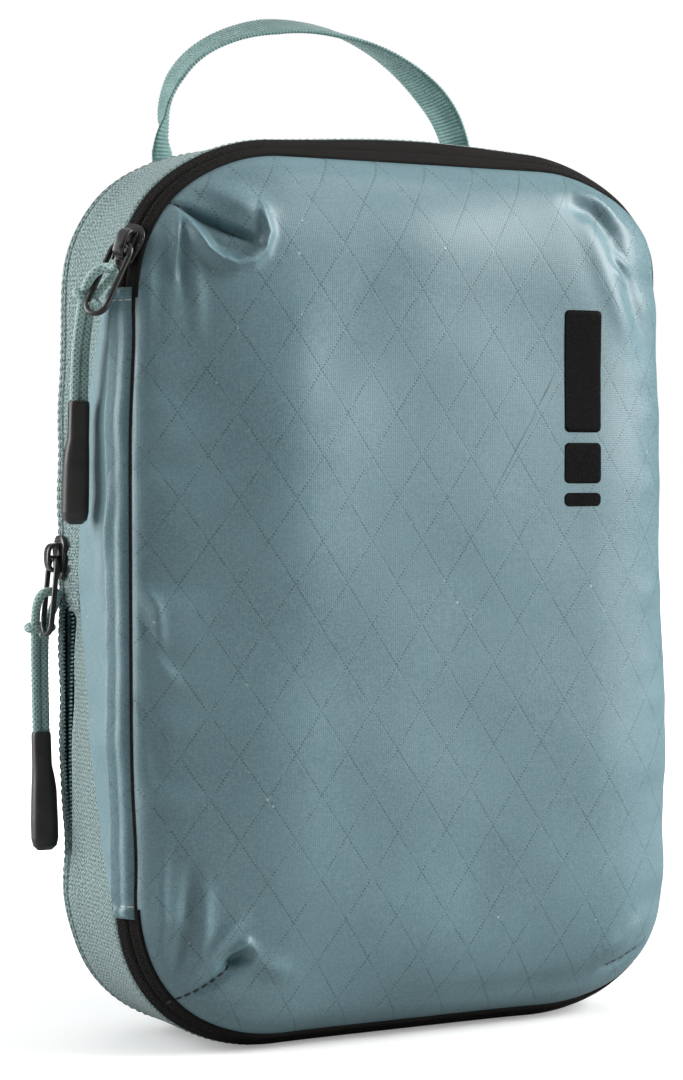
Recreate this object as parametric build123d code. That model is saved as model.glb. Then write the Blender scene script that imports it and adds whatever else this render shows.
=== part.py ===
"""Compression packing cube, standing on its bottom edge.

Frame: +X to the right of the front panel, +Y from the front to the back, +Z up. The origin lies on the
surface that the cube stands on, below the middle of the body. All lengths are in millimetres.

A knit side wall joins a front half and a back half. A zipper round the middle of the side wall holds the
two halves together and lets the gusset behind it unfold. A second zipper runs round three sides of the
front panel, which swings on the soft strip at the left.
"""
from build123d import *
import math
import os

# Driving dimensions of the body
WIDTH = 186.0
HEIGHT = 260.0
CORNER_R = 50.0
CLOTH = 1.2

# Side wall, from the front seam to the back seam, as (y, inset from the largest outline)
SIDE_PROFILE = [(-25.0, 4.4), (-18.2, 0.0), (18.0, 0.0), (24.0, 2.4), (30.0, 6.6), (33.0, 10.6)]
FRONT_SEAM_Y = -25.0
KNIT_FRONT_Y = -18.2
TAPE_JOIN_Y = 1.0
BACK_TAPE_Y = 24.0
BACK_SEAM_Y = 33.0

# Crowned panels, as (y, inset)
LID_PROFILE = [(-25.0, 4.4), (-28.5, 6.0), (-32.5, 11.0), (-36.0, 21.0), (-38.5, 38.0)]
BACK_PROFILE = [(33.0, 10.6), (36.0, 16.0), (38.0, 34.0)]

# Zippers
MAIN_SLOT_Y = -21.6
COMPRESSION_SLOT_Y = 14.6
MAIN_SLOT_FRONT = 0.5
MAIN_SLOT_BACK = 1.1
COMPRESSION_SLOT_GAP = 1.4
COIL_WIDTH = 1.6
COIL_DEPTH = 1.3

# Left hinge strip
HINGE_LOW_Z = 38.0
HINGE_HIGH_Z = 217.0
STRIP_THICKNESS = 1.0
STRIP_BULGE_Y = 2.0
STRIP_BACK_Y = 6.0
STRIP_BEND_Y = -18.4
STRIP_INNER_Y = -18.3
STRIP_END_Z = (46.0, 214.0)
STRIP_CUT_Y = -40.0
LID_GAP = 0.3
LEFT_CUT_X = -60.0
LID_CUT_ANGLES = (18.0, 31.0)

# Small sewn and folded pieces inside the wall
COIL_SETBACK = 0.5
BACK_BINDING = (29.0, 32.4)
BACK_BINDING_DEPTH = 2.2
LID_BINDING_WIDTH = 1.8
LID_BINDING_DEPTH = 2.6
BINDING = 1.2
GUSSET_Y = (8.0, 21.0)
GUSSET_INSET = (5.4, 7.6)
TAPE_TAIL_SIZE = (1.6, 6.0, 14.0)
TAPE_TAIL_PLACE = (-93.8, 6.6, 136.0)
TAPE_TAIL_R = 2.0
STOP_SIZE = (1.0, 2.2, 2.4)
STOP_SINK = 0.5
STOP_BELOW_SLIDER = 12.0

# Sliders, in a local frame: x across the zipper, y along it, z out of the wall
SLIDER_LENGTH = 13.0
SLIDER_WIDTH = 9.0
SLIDER_TAIL_WIDTH = 6.4
SLIDER_PLATE = 1.0
INNER_PLATE_WIDTH = 6.0
INNER_PLATE_DEPTH = 3.3
POST_WIDTH = 0.8
POST_LENGTH = 3.0
SHOULDER_BACK = 4.0
NOSE_TAPER = 1.0
PLATE_CORNER_R = 0.8
CROWN_R = 1.8
CROWN_WIDTH = 4.0
CROWN_LENGTH = 9.0
TUNNEL_LENGTH = 5.0
TUNNEL_HEIGHT = 3.0
CROWN_TOP = 1.0
MAIN_PARK_ANGLE = 22.0
MAIN_PLATE_GAP = 0.9
COMPRESSION_PLATE_GAP = 1.4
COMPRESSION_PARK_Z = 141.0

# Pulls
BAIL_WIRE_D = 1.6
BAIL_WIDTH = 6.6
BAIL_LENGTH = 22.0
BAIL_LEAN = 6.0
BAIL_CORNER_R = 2.4
CORD_D = 2.4
RADIUS_SHARE = 0.45
COLLAR_HEIGHT = 2.0
COLLAR_WALL = 1.45
COLLAR_PLAY = 0.7
GRIP_LENGTH = 34.5
GRIP_ROUNDING = 0.45
# Grip sections, as (share of its length, width, thickness)
GRIP_SECTIONS = [(0.0, 6.0, 4.4), (0.34, 6.0, 4.2), (0.44, 7.4, 5.4), (0.9, 8.0, 6.0), (1.0, 5.6, 3.8)]

# Handle
HANDLE_Y = 32.0
HANDLE_FOOT_Z = 252.5
HANDLE_LEFT_X = -54.0
HANDLE_RIGHT_X = 46.0
HANDLE_TAIL_Y = 32.7
HANDLE_TAIL_Z = 235.0
HANDLE_TAIL_HEIGHT = 12.0
HANDLE_LEG_HEIGHT = 18.0
WEBBING = 1.6
WEBBING_WIDTH = 12.0
# Arch above the feet: (across from the left foot, up) on its left half and (back from the right foot, up)
ARCH_LEFT = [(0.0, 17.0), (0.0, 26.0), (9.0, 38.0), (24.0, 46.5), (44.0, 50.0), (65.0, 47.5)]
ARCH_RIGHT = [(17.0, 39.0), (4.0, 27.0), (0.0, 17.0)]

# Main pull cord, from the grip up one strand, round the bail's rear leg and down the other strand
MAIN_CORD_ROUTE = [
    (-100.1, -11.0, 185.6),
    (-100.1, -11.6, 194.5),
    (-100.0, -12.9, 202.6),
    (-99.9, -15.2, 208.8),
    (-100.2, -18.0, 214.4),
    (-100.0, -22.7, 219.8),
    (-96.0, -25.3, 222.5),
    (-91.8, -22.5, 220.4),
    (-95.0, -19.7, 217.6),
    (-97.2, -16.8, 213.2),
    (-97.3, -14.6, 208.2),
    (-97.4, -12.7, 202.2),
    (-97.5, -11.6, 194.5),
    (-97.5, -11.0, 185.6),
]
# Compression pull cord, the same way round
COMPRESSION_CORD_ROUTE = [
    (-99.9, 21.2, 90.0),
    (-99.9, 21.7, 100.0),
    (-100.0, 21.9, 110.5),
    (-100.1, 21.4, 120.5),
    (-101.1, 18.2, 126.6),
    (-100.7, 14.6, 131.2),
    (-95.2, 14.6, 131.2),
    (-95.5, 18.2, 126.6),
    (-97.3, 21.4, 120.5),
    (-97.3, 21.9, 110.5),
    (-97.3, 21.7, 100.0),
    (-97.3, 21.2, 90.0),
]


def outline(y, inset):
    """Rounded rectangle of the body, seen from the front, at depth y."""
    plane = Plane(origin=(0, y, HEIGHT / 2), x_dir=(1, 0, 0), z_dir=(0, -1, 0))
    return plane * RectangleRounded(WIDTH - 2 * inset, HEIGHT - 2 * inset, CORNER_R - inset)


def through(stations):
    """Closed solid through the outlines at the given stations."""
    return loft([outline(y, inset) for y, inset in stations], ruled=True)


def side_inset(y):
    """Inset of the side wall's outer surface at depth y."""
    for (y0, inset0), (y1, inset1) in zip(SIDE_PROFILE, SIDE_PROFILE[1:]):
        if y0 <= y <= y1:
            return inset0 + (inset1 - inset0) * (y - y0) / (y1 - y0)
    raise ValueError(y)


def wall(y_front, y_back, depth=0.0, thickness=CLOTH):
    """Ring of the side wall between two depths, its outer surface a given depth under the outline."""
    between = [y for y, _ in SIDE_PROFILE if y_front < y < y_back]
    stations = [(y, side_inset(y) + depth) for y in [y_front, *between, y_back]]
    return through(stations) - through([(y, inset + thickness) for y, inset in stations])


def crowned(profile, lift):
    """Dished panel: the cloth lies inside the profile, and lift is +1 or -1 along Y into the body."""
    seam_y, seam_inset = profile[0]
    inner = [(seam_y, seam_inset + CLOTH)]
    inner += [(y + lift * CLOTH, inset + CLOTH) for y, inset in profile[1:]]
    return through(profile) - through(inner)


def left_block(z_low, z_high):
    """Block over the left side between two heights."""
    return Pos(LEFT_CUT_X - WIDTH / 2, 0, (z_low + z_high) / 2) * Box(WIDTH, WIDTH, z_high - z_low)


def corner_z(angle):
    """Height of the main zipper's line at an angle up the top left corner."""
    radius = CORNER_R - side_inset(MAIN_SLOT_Y)
    return HEIGHT - CORNER_R + radius * math.sin(math.radians(angle))


# ---- soft body ----


def hinge_strip():
    """Soft strip at the left that the front panel swings on, widest at mid height."""
    front = (FRONT_SEAM_Y + LID_GAP, side_inset(FRONT_SEAM_Y + LID_GAP))
    bend, cut = STRIP_BEND_Y, STRIP_CUT_Y
    outer = through([front, (bend, -STRIP_THICKNESS), (STRIP_BACK_Y, -STRIP_THICKNESS)])
    inner_points = [(front[0], front[1] + CLOTH), (STRIP_INNER_Y, CLOTH)]
    inner_points += [(KNIT_FRONT_Y, 0.0), (STRIP_BACK_Y, 0.0)]
    low_z, high_z = STRIP_END_Z
    arc = ThreePointArc((bend, high_z), (STRIP_BULGE_Y, (low_z + high_z) / 2), (bend, low_z))
    rim = Polyline((bend, low_z), (bend, HINGE_LOW_Z), (cut, HINGE_LOW_Z), (cut, HINGE_HIGH_Z))
    close = Polyline((cut, HINGE_HIGH_Z), (bend, HINGE_HIGH_Z), (bend, high_z))
    lens = extrude(Plane.YZ * make_face(arc + rim + close), amount=-WIDTH)
    return (outer - through(inner_points)) & (lens & left_block(HINGE_LOW_Z, HINGE_HIGH_Z))


def expansion_gusset():
    """Folded cloth ring behind the compression zipper, two layers deep."""
    outer_inset, inner_inset = GUSSET_INSET
    return through([(y, outer_inset) for y in GUSSET_Y]) - through([(y, inner_inset) for y in GUSSET_Y])


def compression_tape_end():
    """Folded tail of the compression zipper's tape, beside the parked slider."""
    tail = Pos(*TAPE_TAIL_PLACE) * Box(*TAPE_TAIL_SIZE)
    return fillet(tail.edges().filter_by(Axis.X), TAPE_TAIL_R)


def stop():
    """Crimped stop below the parked compression slider."""
    y = COMPRESSION_SLOT_Y + COMPRESSION_SLOT_GAP / 2 + COIL_WIDTH
    return Pos(-WIDTH / 2 - STOP_SINK, y, COMPRESSION_PARK_Z - STOP_BELOW_SLIDER) * Box(*STOP_SIZE)


# ---- sliders ----


def slider(plate_gap):
    """Zipper slider in its local frame: plates either side of the tape, a post and a crown."""
    half = SLIDER_LENGTH / 2
    tail = SLIDER_TAIL_WIDTH / 2
    shoulder = SLIDER_WIDTH / 2
    nose = shoulder - NOSE_TAPER
    widest = half - SHOULDER_BACK
    right = [(tail, -half), (shoulder, widest), (nose, half)]
    left = [(-x, y) for x, y in reversed(right)]
    shield = make_face(Polyline(*right, *left, close=True))
    outer = extrude(Pos(0, 0, plate_gap) * shield, amount=SLIDER_PLATE)
    outer = fillet(outer.edges().filter_by(Axis.Z), PLATE_CORNER_R)
    inner_z = -INNER_PLATE_DEPTH - SLIDER_PLATE / 2
    inner = Pos(0, 0, inner_z) * Box(INNER_PLATE_WIDTH, SLIDER_LENGTH - NOSE_TAPER, SLIDER_PLATE)
    post_height = plate_gap - inner_z
    post = Pos(0, half - POST_LENGTH, inner_z + post_height / 2) * Box(POST_WIDTH, POST_LENGTH, post_height)
    crown_height = TUNNEL_HEIGHT + CROWN_TOP
    crown_z = plate_gap + SLIDER_PLATE + crown_height / 2
    crown = Pos(0, 0, crown_z) * Box(CROWN_WIDTH, CROWN_LENGTH, crown_height)
    crown = fillet(crown.edges().filter_by(Axis.X).sort_by(Axis.Z)[-2:], CROWN_R)
    tunnel_z = plate_gap + SLIDER_PLATE + TUNNEL_HEIGHT / 2
    tunnel = Pos(0, 0, tunnel_z) * Box(CROWN_WIDTH * 2, TUNNEL_LENGTH, TUNNEL_HEIGHT)
    return outer + inner + post + (crown - tunnel)


def bail():
    """Wire loop through the crown, hanging along -y from its top bar at the local origin."""
    loop = Pos(0, -BAIL_LENGTH / 2, 0) * RectangleRounded(BAIL_WIDTH, BAIL_LENGTH, BAIL_CORNER_R)
    path = loop.face().outer_wire()
    section = Plane(origin=path @ 0, z_dir=path % 0) * Circle(BAIL_WIRE_D / 2)
    return Rot(-BAIL_LEAN, 0, 0) * sweep(section, path=path)


def main_slider_place():
    """Local frame of the parked main slider, on the top left corner."""
    angle = math.radians(MAIN_PARK_ANGLE)
    radial = Vector(-math.cos(angle), 0, math.sin(angle))
    along = Vector(math.sin(angle), 0, math.cos(angle))
    tilt = math.atan2(SIDE_PROFILE[0][1] - SIDE_PROFILE[1][1], KNIT_FRONT_Y - FRONT_SEAM_Y)
    out = radial * math.cos(tilt) - Vector(0, 1, 0) * math.sin(tilt)
    radius = CORNER_R - side_inset(MAIN_SLOT_Y)
    centre = Vector(CORNER_R - WIDTH / 2, MAIN_SLOT_Y, HEIGHT - CORNER_R) + radial * radius
    return Plane(origin=centre, x_dir=along.cross(out), z_dir=out)


def compression_slider_place():
    """Local frame of the parked compression slider, on the left side."""
    centre = (-WIDTH / 2, COMPRESSION_SLOT_Y, COMPRESSION_PARK_Z)
    return Plane(origin=centre, x_dir=(0, -1, 0), z_dir=(-1, 0, 0))


def tunnel_centre(plate_gap):
    """Where the bail's top bar lies in a slider's local frame."""
    return Pos(0, 0, plate_gap + SLIDER_PLATE + TUNNEL_HEIGHT / 2)


# ---- pull cords and grips ----


def bend_radii(points):
    """Arc radius at each corner of a route: as large as its two runs allow."""
    radii = []
    for before, here, after in zip(points, points[1:], points[2:]):
        run_in = Vector(*here) - Vector(*before)
        run_out = Vector(*after) - Vector(*here)
        half_turn = math.radians(run_in.get_angle(run_out) / 2)
        radii.append(RADIUS_SHARE * min(run_in.length, run_out.length) / math.tan(half_turn))
    return radii


def cord(name, points):
    """Round cord along a route of straight runs and tangent arcs."""
    radii = bend_radii(points)
    path = FilletPolyline(*points, radius=radii, close=False)
    start = Plane(origin=path @ 0, z_dir=path % 0)
    solid = sweep(start * Circle(CORD_D / 2), path=path)
    expected = math.pi * CORD_D**2 / 4 * path.length
    print(f"{name}: length {path.length:.1f}, radii {[round(r, 1) for r in radii]}")
    print(f"  volume {solid.volume:.1f}, section times length {expected:.1f}")
    return solid


def collar(strand_a, strand_b, axis):
    """Hitch of the cord round its own two strands."""
    across = Vector(*strand_b) - Vector(*strand_a)
    plane = Plane(origin=midpoint(strand_a, strand_b), x_dir=across, z_dir=axis)
    span = across.length + CORD_D
    hole = SlotOverall(span + 2 * COLLAR_PLAY, CORD_D + 2 * COLLAR_PLAY)
    rim = SlotOverall(span + 2 * COLLAR_WALL, CORD_D + 2 * COLLAR_WALL)
    return extrude(plane * (rim - hole), amount=COLLAR_HEIGHT / 2, both=True)


def grip(mouth, axis):
    """Moulded rubber grip from its mouth along an axis, with a stepped shoulder."""
    down = axis.normalized()
    sections = []
    for share, width, thickness in GRIP_SECTIONS:
        plane = Plane(origin=Vector(*mouth) + down * (GRIP_LENGTH * share), x_dir=(1, 0, 0), z_dir=down)
        sections.append(plane * RectangleRounded(width, thickness, thickness * GRIP_ROUNDING))
    return loft(sections, ruled=True)


def midpoint(a, b):
    """Point half way between two points."""
    return tuple((p + q) / 2 for p, q in zip(a, b))


# ---- handle ----


def handle_webbing():
    """Webbing loop: flat feet sewn to the back seam, and an arch turned edge-on above them."""
    points = [(HANDLE_LEFT_X + across, HANDLE_Y, HANDLE_FOOT_Z + up) for across, up in ARCH_LEFT]
    points += [(HANDLE_RIGHT_X - back, HANDLE_Y, HANDLE_FOOT_Z + up) for back, up in ARCH_RIGHT]
    path = FilletPolyline(*points, radius=bend_radii(points), close=False)
    section = Plane(origin=path @ 0, x_dir=(1, 0, 0), z_dir=path % 0) * Rectangle(WEBBING, WEBBING_WIDTH)
    arch = sweep(section, path=path)
    for x in (HANDLE_LEFT_X, HANDLE_RIGHT_X):
        leg_z = HANDLE_FOOT_Z + HANDLE_LEG_HEIGHT / 2
        arch += Pos(x, HANDLE_Y, leg_z) * Box(WEBBING_WIDTH, WEBBING, HANDLE_LEG_HEIGHT)
    return arch


def handle_tail(x):
    """Sewn tail of the webbing, against the inside of the back panel."""
    return Pos(x, HANDLE_TAIL_Y, HANDLE_TAIL_Z) * Box(WEBBING_WIDTH, WEBBING, HANDLE_TAIL_HEIGHT)


def build():
    """Every node of the cube by name."""
    low_angle, high_angle = LID_CUT_ANGLES
    lid_cut = left_block(HEIGHT - corner_z(low_angle), corner_z(high_angle))
    hinge_cut = left_block(HINGE_LOW_Z, HINGE_HIGH_Z)
    end_block = left_block(HINGE_HIGH_Z, corner_z(high_angle) - LID_GAP)
    main_front_y = MAIN_SLOT_Y - MAIN_SLOT_FRONT
    main_back_y = MAIN_SLOT_Y + MAIN_SLOT_BACK
    main_coil_y = main_back_y + COIL_SETBACK
    comp_front_y = COMPRESSION_SLOT_Y - COMPRESSION_SLOT_GAP / 2
    comp_back_y = COMPRESSION_SLOT_Y + COMPRESSION_SLOT_GAP / 2
    nodes = {
        "back_panel": crowned(BACK_PROFILE, -1),
        "back_wall": wall(BACK_TAPE_Y, BACK_SEAM_Y),
        "back_seam_binding": wall(*BACK_BINDING, BACK_BINDING_DEPTH, BINDING),
        "compression_tape_back": wall(comp_back_y, BACK_TAPE_Y),
        "compression_coil_back": wall(comp_back_y, comp_back_y + COIL_WIDTH, CLOTH, COIL_DEPTH),
        "compression_stop": stop(),
        "expansion_gusset": expansion_gusset(),
        "handle_tail_left": handle_tail(HANDLE_LEFT_X),
        "handle_tail_right": handle_tail(HANDLE_RIGHT_X),
        "handle_webbing": handle_webbing(),
        "gusset_wall": wall(KNIT_FRONT_Y, TAPE_JOIN_Y),
        "compression_tape_front": wall(TAPE_JOIN_Y, comp_front_y),
        "compression_coil_front": wall(comp_front_y - COIL_WIDTH, comp_front_y, CLOTH, COIL_DEPTH),
        "compression_tape_end": compression_tape_end(),
        "hinge_strip": hinge_strip(),
        "main_tape_body": wall(main_back_y, KNIT_FRONT_Y) - hinge_cut,
        "main_coil_body": wall(main_coil_y, main_coil_y + COIL_WIDTH, CLOTH, COIL_DEPTH) - hinge_cut,
        "main_tape_end": wall(FRONT_SEAM_Y + LID_GAP, main_front_y) & end_block,
        "lid_panel": crowned(LID_PROFILE, 1),
        "lid_tape": wall(FRONT_SEAM_Y, main_front_y) - lid_cut,
        "lid_coil": wall(main_front_y - COIL_WIDTH, main_front_y, CLOTH, COIL_DEPTH) - lid_cut,
        "lid_seam_binding": wall(FRONT_SEAM_Y, FRONT_SEAM_Y + LID_BINDING_WIDTH, LID_BINDING_DEPTH, BINDING),
    }

    main_place = main_slider_place()
    comp_place = compression_slider_place()
    nodes["main_slider"] = main_place.location * slider(MAIN_PLATE_GAP)
    nodes["main_bail"] = main_place.location * tunnel_centre(MAIN_PLATE_GAP) * bail()
    nodes["compression_slider"] = comp_place.location * slider(COMPRESSION_PLATE_GAP)
    nodes["compression_bail"] = comp_place.location * tunnel_centre(COMPRESSION_PLATE_GAP) * bail()

    main = MAIN_CORD_ROUTE
    comp = COMPRESSION_CORD_ROUTE
    nodes["main_cord"] = cord("main cord", main)
    nodes["compression_cord"] = cord("compression cord", comp)
    main_axis = Vector(*main[4]) - Vector(*main[3])
    comp_axis = Vector(*comp[3]) - Vector(*comp[2])
    nodes["main_cord_collar"] = collar(main[4], main[9], main_axis)
    nodes["compression_cord_collar"] = collar(comp[3], comp[8], comp_axis)
    nodes["main_grip"] = grip(midpoint(main[0], main[-1]), Vector(*main[0]) - Vector(*main[1]))
    nodes["compression_grip"] = grip(midpoint(comp[0], comp[-1]), Vector(*comp[0]) - Vector(*comp[1]))
    return nodes


os.makedirs("parts", exist_ok=True)
for node, shape in build().items():
    export_step(shape, f"parts/{node}.step")
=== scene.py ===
"""The compression packing cube's looks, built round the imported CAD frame. All lengths are in metres."""
import bpy
import bmesh
import math
import numpy as np
from mathutils import Matrix, Vector


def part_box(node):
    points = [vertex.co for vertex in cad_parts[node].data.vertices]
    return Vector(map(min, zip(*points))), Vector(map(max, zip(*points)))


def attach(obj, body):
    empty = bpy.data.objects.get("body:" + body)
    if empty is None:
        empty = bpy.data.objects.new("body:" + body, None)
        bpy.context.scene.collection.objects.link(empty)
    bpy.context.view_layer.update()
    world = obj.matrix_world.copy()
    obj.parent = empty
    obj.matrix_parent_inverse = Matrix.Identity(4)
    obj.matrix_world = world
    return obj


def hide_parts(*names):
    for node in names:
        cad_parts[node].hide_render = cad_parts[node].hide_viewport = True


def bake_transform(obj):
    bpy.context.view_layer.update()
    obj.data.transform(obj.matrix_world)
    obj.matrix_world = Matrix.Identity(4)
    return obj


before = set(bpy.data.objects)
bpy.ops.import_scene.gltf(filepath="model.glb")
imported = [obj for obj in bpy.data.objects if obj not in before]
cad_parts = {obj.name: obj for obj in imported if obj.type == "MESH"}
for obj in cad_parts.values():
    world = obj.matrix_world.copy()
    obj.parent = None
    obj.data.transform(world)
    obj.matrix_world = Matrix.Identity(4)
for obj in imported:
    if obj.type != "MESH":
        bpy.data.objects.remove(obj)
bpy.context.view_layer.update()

MM = 0.001
FRONT, BACK, LID = "front_half", "back_half", "lid"

# The side wall, read from the frame: +X right, +Y back, +Z up
wall_low, wall_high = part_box("gusset_wall")
HALF_WIDTH = wall_high.x
HEIGHT = wall_high.z
KNIT_FRONT_Y = wall_low.y
SEAM_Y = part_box("lid_tape")[0].y
BACK_SEAM_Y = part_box("back_wall")[1].y
CORNER_R = 50 * MM
# The side wall's profile: depth and inset from the largest outline
SIDE_PROFILE = np.array([(-25, 4.4), (-18.2, 0), (18, 0), (24, 2.4), (30, 6.6), (33, 10.6)]) * MM
FRONT_INSET, BACK_INSET = SIDE_PROFILE[0, 1], SIDE_PROFILE[-1, 1]
MAIN_LINE_Y = -21.6 * MM
COMPRESSION_LINE_Y = 14.6 * MM

# Points round the outline, closer together at the two left corners, where the folds are
AROUND = 960
FOLDS_AT, FOLDS_REACH = 119 * MM, 40 * MM
TOP_CROWD, LOW_CROWD = 2.0, 1.3
# Where the soft body is slimmer than the plain rounded rectangle, and more so at the upper right
SLIM, SLIM_Z, SLIM_REACH = 1.3 * MM, 76 * MM, 20 * MM
RIGHT_SLIM, RIGHT_HIGH_SLIM = 0.6 * MM, 3.1 * MM
SLIM_FROM, SLIM_BLEND = 0.45, 0.4
HIGH_RISE, HIGH_FALL = (75 * MM, 150 * MM), (218 * MM, 238 * MM)
# Corners that bulge: (x, z) of the middle, outward size and reach, in mm
CORNERS = [((-80, 242), 0.9, 15), ((-78, 15), 1.7, 24), ((78, 245), 1.2, 14), ((78, 15), 3.8, 23)]
# Where the left side stands out behind its middle, and its upper corner once more
BACK_SWELL, BACK_CORNER, BACK_CORNER_REACH = 1.1 * MM, (-78, 245), 22
LEFT_FROM, LEFT_BLEND = 0.6, 0.4
BACK_RISE, BACK_FALL = (2 * MM, 15 * MM), (24 * MM, 32 * MM)
# How the top bows up in its middle
TOP_SWELL, SWELL_X, SWELL_REACH = 3.2 * MM, 4 * MM, 42 * MM


# ---- outline and surfaces ----


def side_inset(y):
    """Inset of the side wall from the largest outline at depth y."""
    return np.interp(y, SIDE_PROFILE[:, 0], SIDE_PROFILE[:, 1])


def smooth_step(value, low, high):
    """0 below low, 1 above high and a smooth rise between them."""
    share = np.clip((value - low) / (high - low), 0, 1)
    return share * share * (3 - 2 * share)


def lobe(x, z, centre, reach):
    """A soft round hill of height 1; its centre and reach are in mm."""
    return np.exp(-(((x / MM - centre[0]) ** 2 + (z / MM - centre[1]) ** 2) / reach**2))


def slim(x, z):
    """Extra inset of the soft body from the plain rounded rectangle."""
    side = np.clip((np.abs(x) / HALF_WIDTH - SLIM_FROM) / SLIM_BLEND, 0, 1)
    beside = SLIM * np.exp(-(((np.abs(z - HEIGHT / 2) - SLIM_Z) / SLIM_REACH) ** 2))
    high = smooth_step(z, *HIGH_RISE) * (1 - smooth_step(z, *HIGH_FALL))
    total = (beside + (RIGHT_SLIM + RIGHT_HIGH_SLIM * high) * (x > 0)) * side
    for centre, size, reach in CORNERS:
        total = total - size * MM * lobe(x, z, centre, reach)
    return total


def back_swell(x, y, z):
    """How far the left side stands out behind its middle."""
    corner = lobe(x, z, BACK_CORNER, BACK_CORNER_REACH)
    side = np.clip((-x / HALF_WIDTH - LEFT_FROM) / LEFT_BLEND, 0, 1)
    depth = smooth_step(y, *BACK_RISE) * (1 - smooth_step(y, *BACK_FALL))
    return BACK_SWELL * (side + corner) * depth


def outline_steps(count, total):
    """Distances round the outline, closer together where it is crowded."""
    fine = np.linspace(0, total, 4001)
    crowd = 1 + TOP_CROWD * np.exp(-(((fine - FOLDS_AT) / FOLDS_REACH) ** 4))
    crowd = crowd + LOW_CROWD * np.exp(-(((fine - total + FOLDS_AT) / FOLDS_REACH) ** 4))
    done = np.concatenate([[0], np.cumsum((crowd[1:] + crowd[:-1]) / 2)])
    return np.interp(np.arange(count) / count * done[-1], done, fine)


def base_outline(count):
    """Points (x, z) round the largest outline and their outward normals, from the middle of the left side."""
    straight_z = HEIGHT - 2 * CORNER_R
    straight_x = 2 * (HALF_WIDTH - CORNER_R)
    quarter = math.pi / 2 * CORNER_R
    bends = [quarter, straight_x, quarter]
    runs = [straight_z / 2, *bends, straight_z, *bends, straight_z / 2]
    points, normals = [], []
    for s in outline_steps(count, sum(runs)):
        x, z, direction = -HALF_WIDTH, HEIGHT / 2, math.pi / 2
        for index, length in enumerate(runs):
            part = min(s, length)
            outward = direction + math.pi / 2
            if index % 2 == 0:
                x += part * math.cos(direction)
                z += part * math.sin(direction)
            else:
                turned = outward - part / CORNER_R
                x += CORNER_R * (math.cos(turned) - math.cos(outward))
                z += CORNER_R * (math.sin(turned) - math.sin(outward))
                direction = turned - math.pi / 2
                outward = turned
            s -= part
            if s <= 0:
                break
        points.append((x, z))
        normals.append((math.cos(outward), math.sin(outward)))
    return np.array(points), np.array(normals)


OUTLINE, NORMALS = base_outline(AROUND)
OUTLINE = OUTLINE - NORMALS * slim(*OUTLINE.T)[:, None]


def ring(y, inset):
    """One ring of points at depth y (one value or one for each point), inset from the largest outline.

    The top bows up in its middle, and less so near the panels' seams.
    """
    swell = back_swell(OUTLINE[:, 0], np.broadcast_to(y, AROUND), OUTLINE[:, 1])
    flat = OUTLINE - NORMALS * np.reshape(inset - swell, (-1, 1))
    bow = TOP_SWELL * np.exp(-(((flat[:, 0] - SWELL_X) / SWELL_REACH) ** 2)) * (flat[:, 1] > HEIGHT / 2)
    share = np.clip(1 - np.ravel(inset) / FRONT_INSET, 0, 1)
    return np.stack([flat[:, 0], np.broadcast_to(y, AROUND), flat[:, 1] + bow * share], axis=1)


def edge_distance(x, z):
    """Distance inwards from the largest outline."""
    qx = np.abs(x) - (HALF_WIDTH - CORNER_R)
    qz = np.abs(z - HEIGHT / 2) - (HEIGHT / 2 - CORNER_R)
    outside = np.hypot(np.maximum(qx, 0), np.maximum(qz, 0))
    return CORNER_R - outside - np.minimum(np.maximum(qx, qz), 0) - slim(x, z)


def along(x, z, route):
    """For a route of (x, z) points in mm: share of the way along it and signed distance from it, in mm."""
    px, pz = x / MM, z / MM
    lengths = [math.dist(a, b) for a, b in zip(route, route[1:])]
    best = np.full(np.shape(px), 1e9)
    share = np.zeros_like(best)
    side = np.ones_like(best)
    done = 0.0
    for (ax, az), (bx, bz), length in zip(route, route[1:], lengths):
        dx, dz = (bx - ax) / length, (bz - az) / length
        t = np.clip((px - ax) * dx + (pz - az) * dz, 0, length)
        d = np.hypot(px - ax - t * dx, pz - az - t * dz)
        nearer = d < best
        best = np.where(nearer, d, best)
        share = np.where(nearer, (done + t) / sum(lengths), share)
        side = np.where(nearer, np.sign((px - ax) * dz - (pz - az) * dx), side)
        done += length
    return share, best * side


# A fold's height along its route: the part of a sine's arch that it follows, and its power
TAPER_FROM, TAPER_SHARE, TAPER_POWER = 0.05, 0.9, 0.6


def fold(x, z, route, width, height, sharp=0.0):
    """Height in mm of a soft fold along a route, tapered at its ends; sharp leans it to one side."""
    share, d = along(x, z, route)
    taper = np.sin(np.pi * np.clip(share * TAPER_SHARE + TAPER_FROM, 0, 1)) ** TAPER_POWER
    spread = width * (1 + sharp * np.sign(d))
    return height * taper * np.exp(-((d / spread) ** 2))


def bump(x, z, centre, radii, turn, height):
    """Height in mm of a soft oval lump."""
    c, s = math.cos(math.radians(turn)), math.sin(math.radians(turn))
    dx, dz = x / MM - centre[0], z / MM - centre[1]
    u, v = (dx * c + dz * s) / radii[0], (dz * c - dx * s) / radii[1]
    return height * np.exp(-(u**2 + v**2))


def ripple(x, z, waves):
    """Sum of gentle waves: (height in mm, wavelength in mm, direction in degrees, phase)."""
    total = 0
    for height, length, direction, phase in waves:
        a = math.radians(direction)
        travel = (x * math.cos(a) + z * math.sin(a)) / MM
        total = total + height * np.sin(2 * math.pi * travel / length + phase)
    return total


SOFT_WAVES = [(0.2, 61, 20, 0.4), (0.2, 83, 95, 2.1), (0.12, 47, 140, 1.1), (0.1, 38, 60, 4.0)]
EDGE_WAVES = [(0.5, 27, 82, 0.3), (0.35, 17, 97, 1.7), (0.22, 11, 90, 3.3)]
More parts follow.
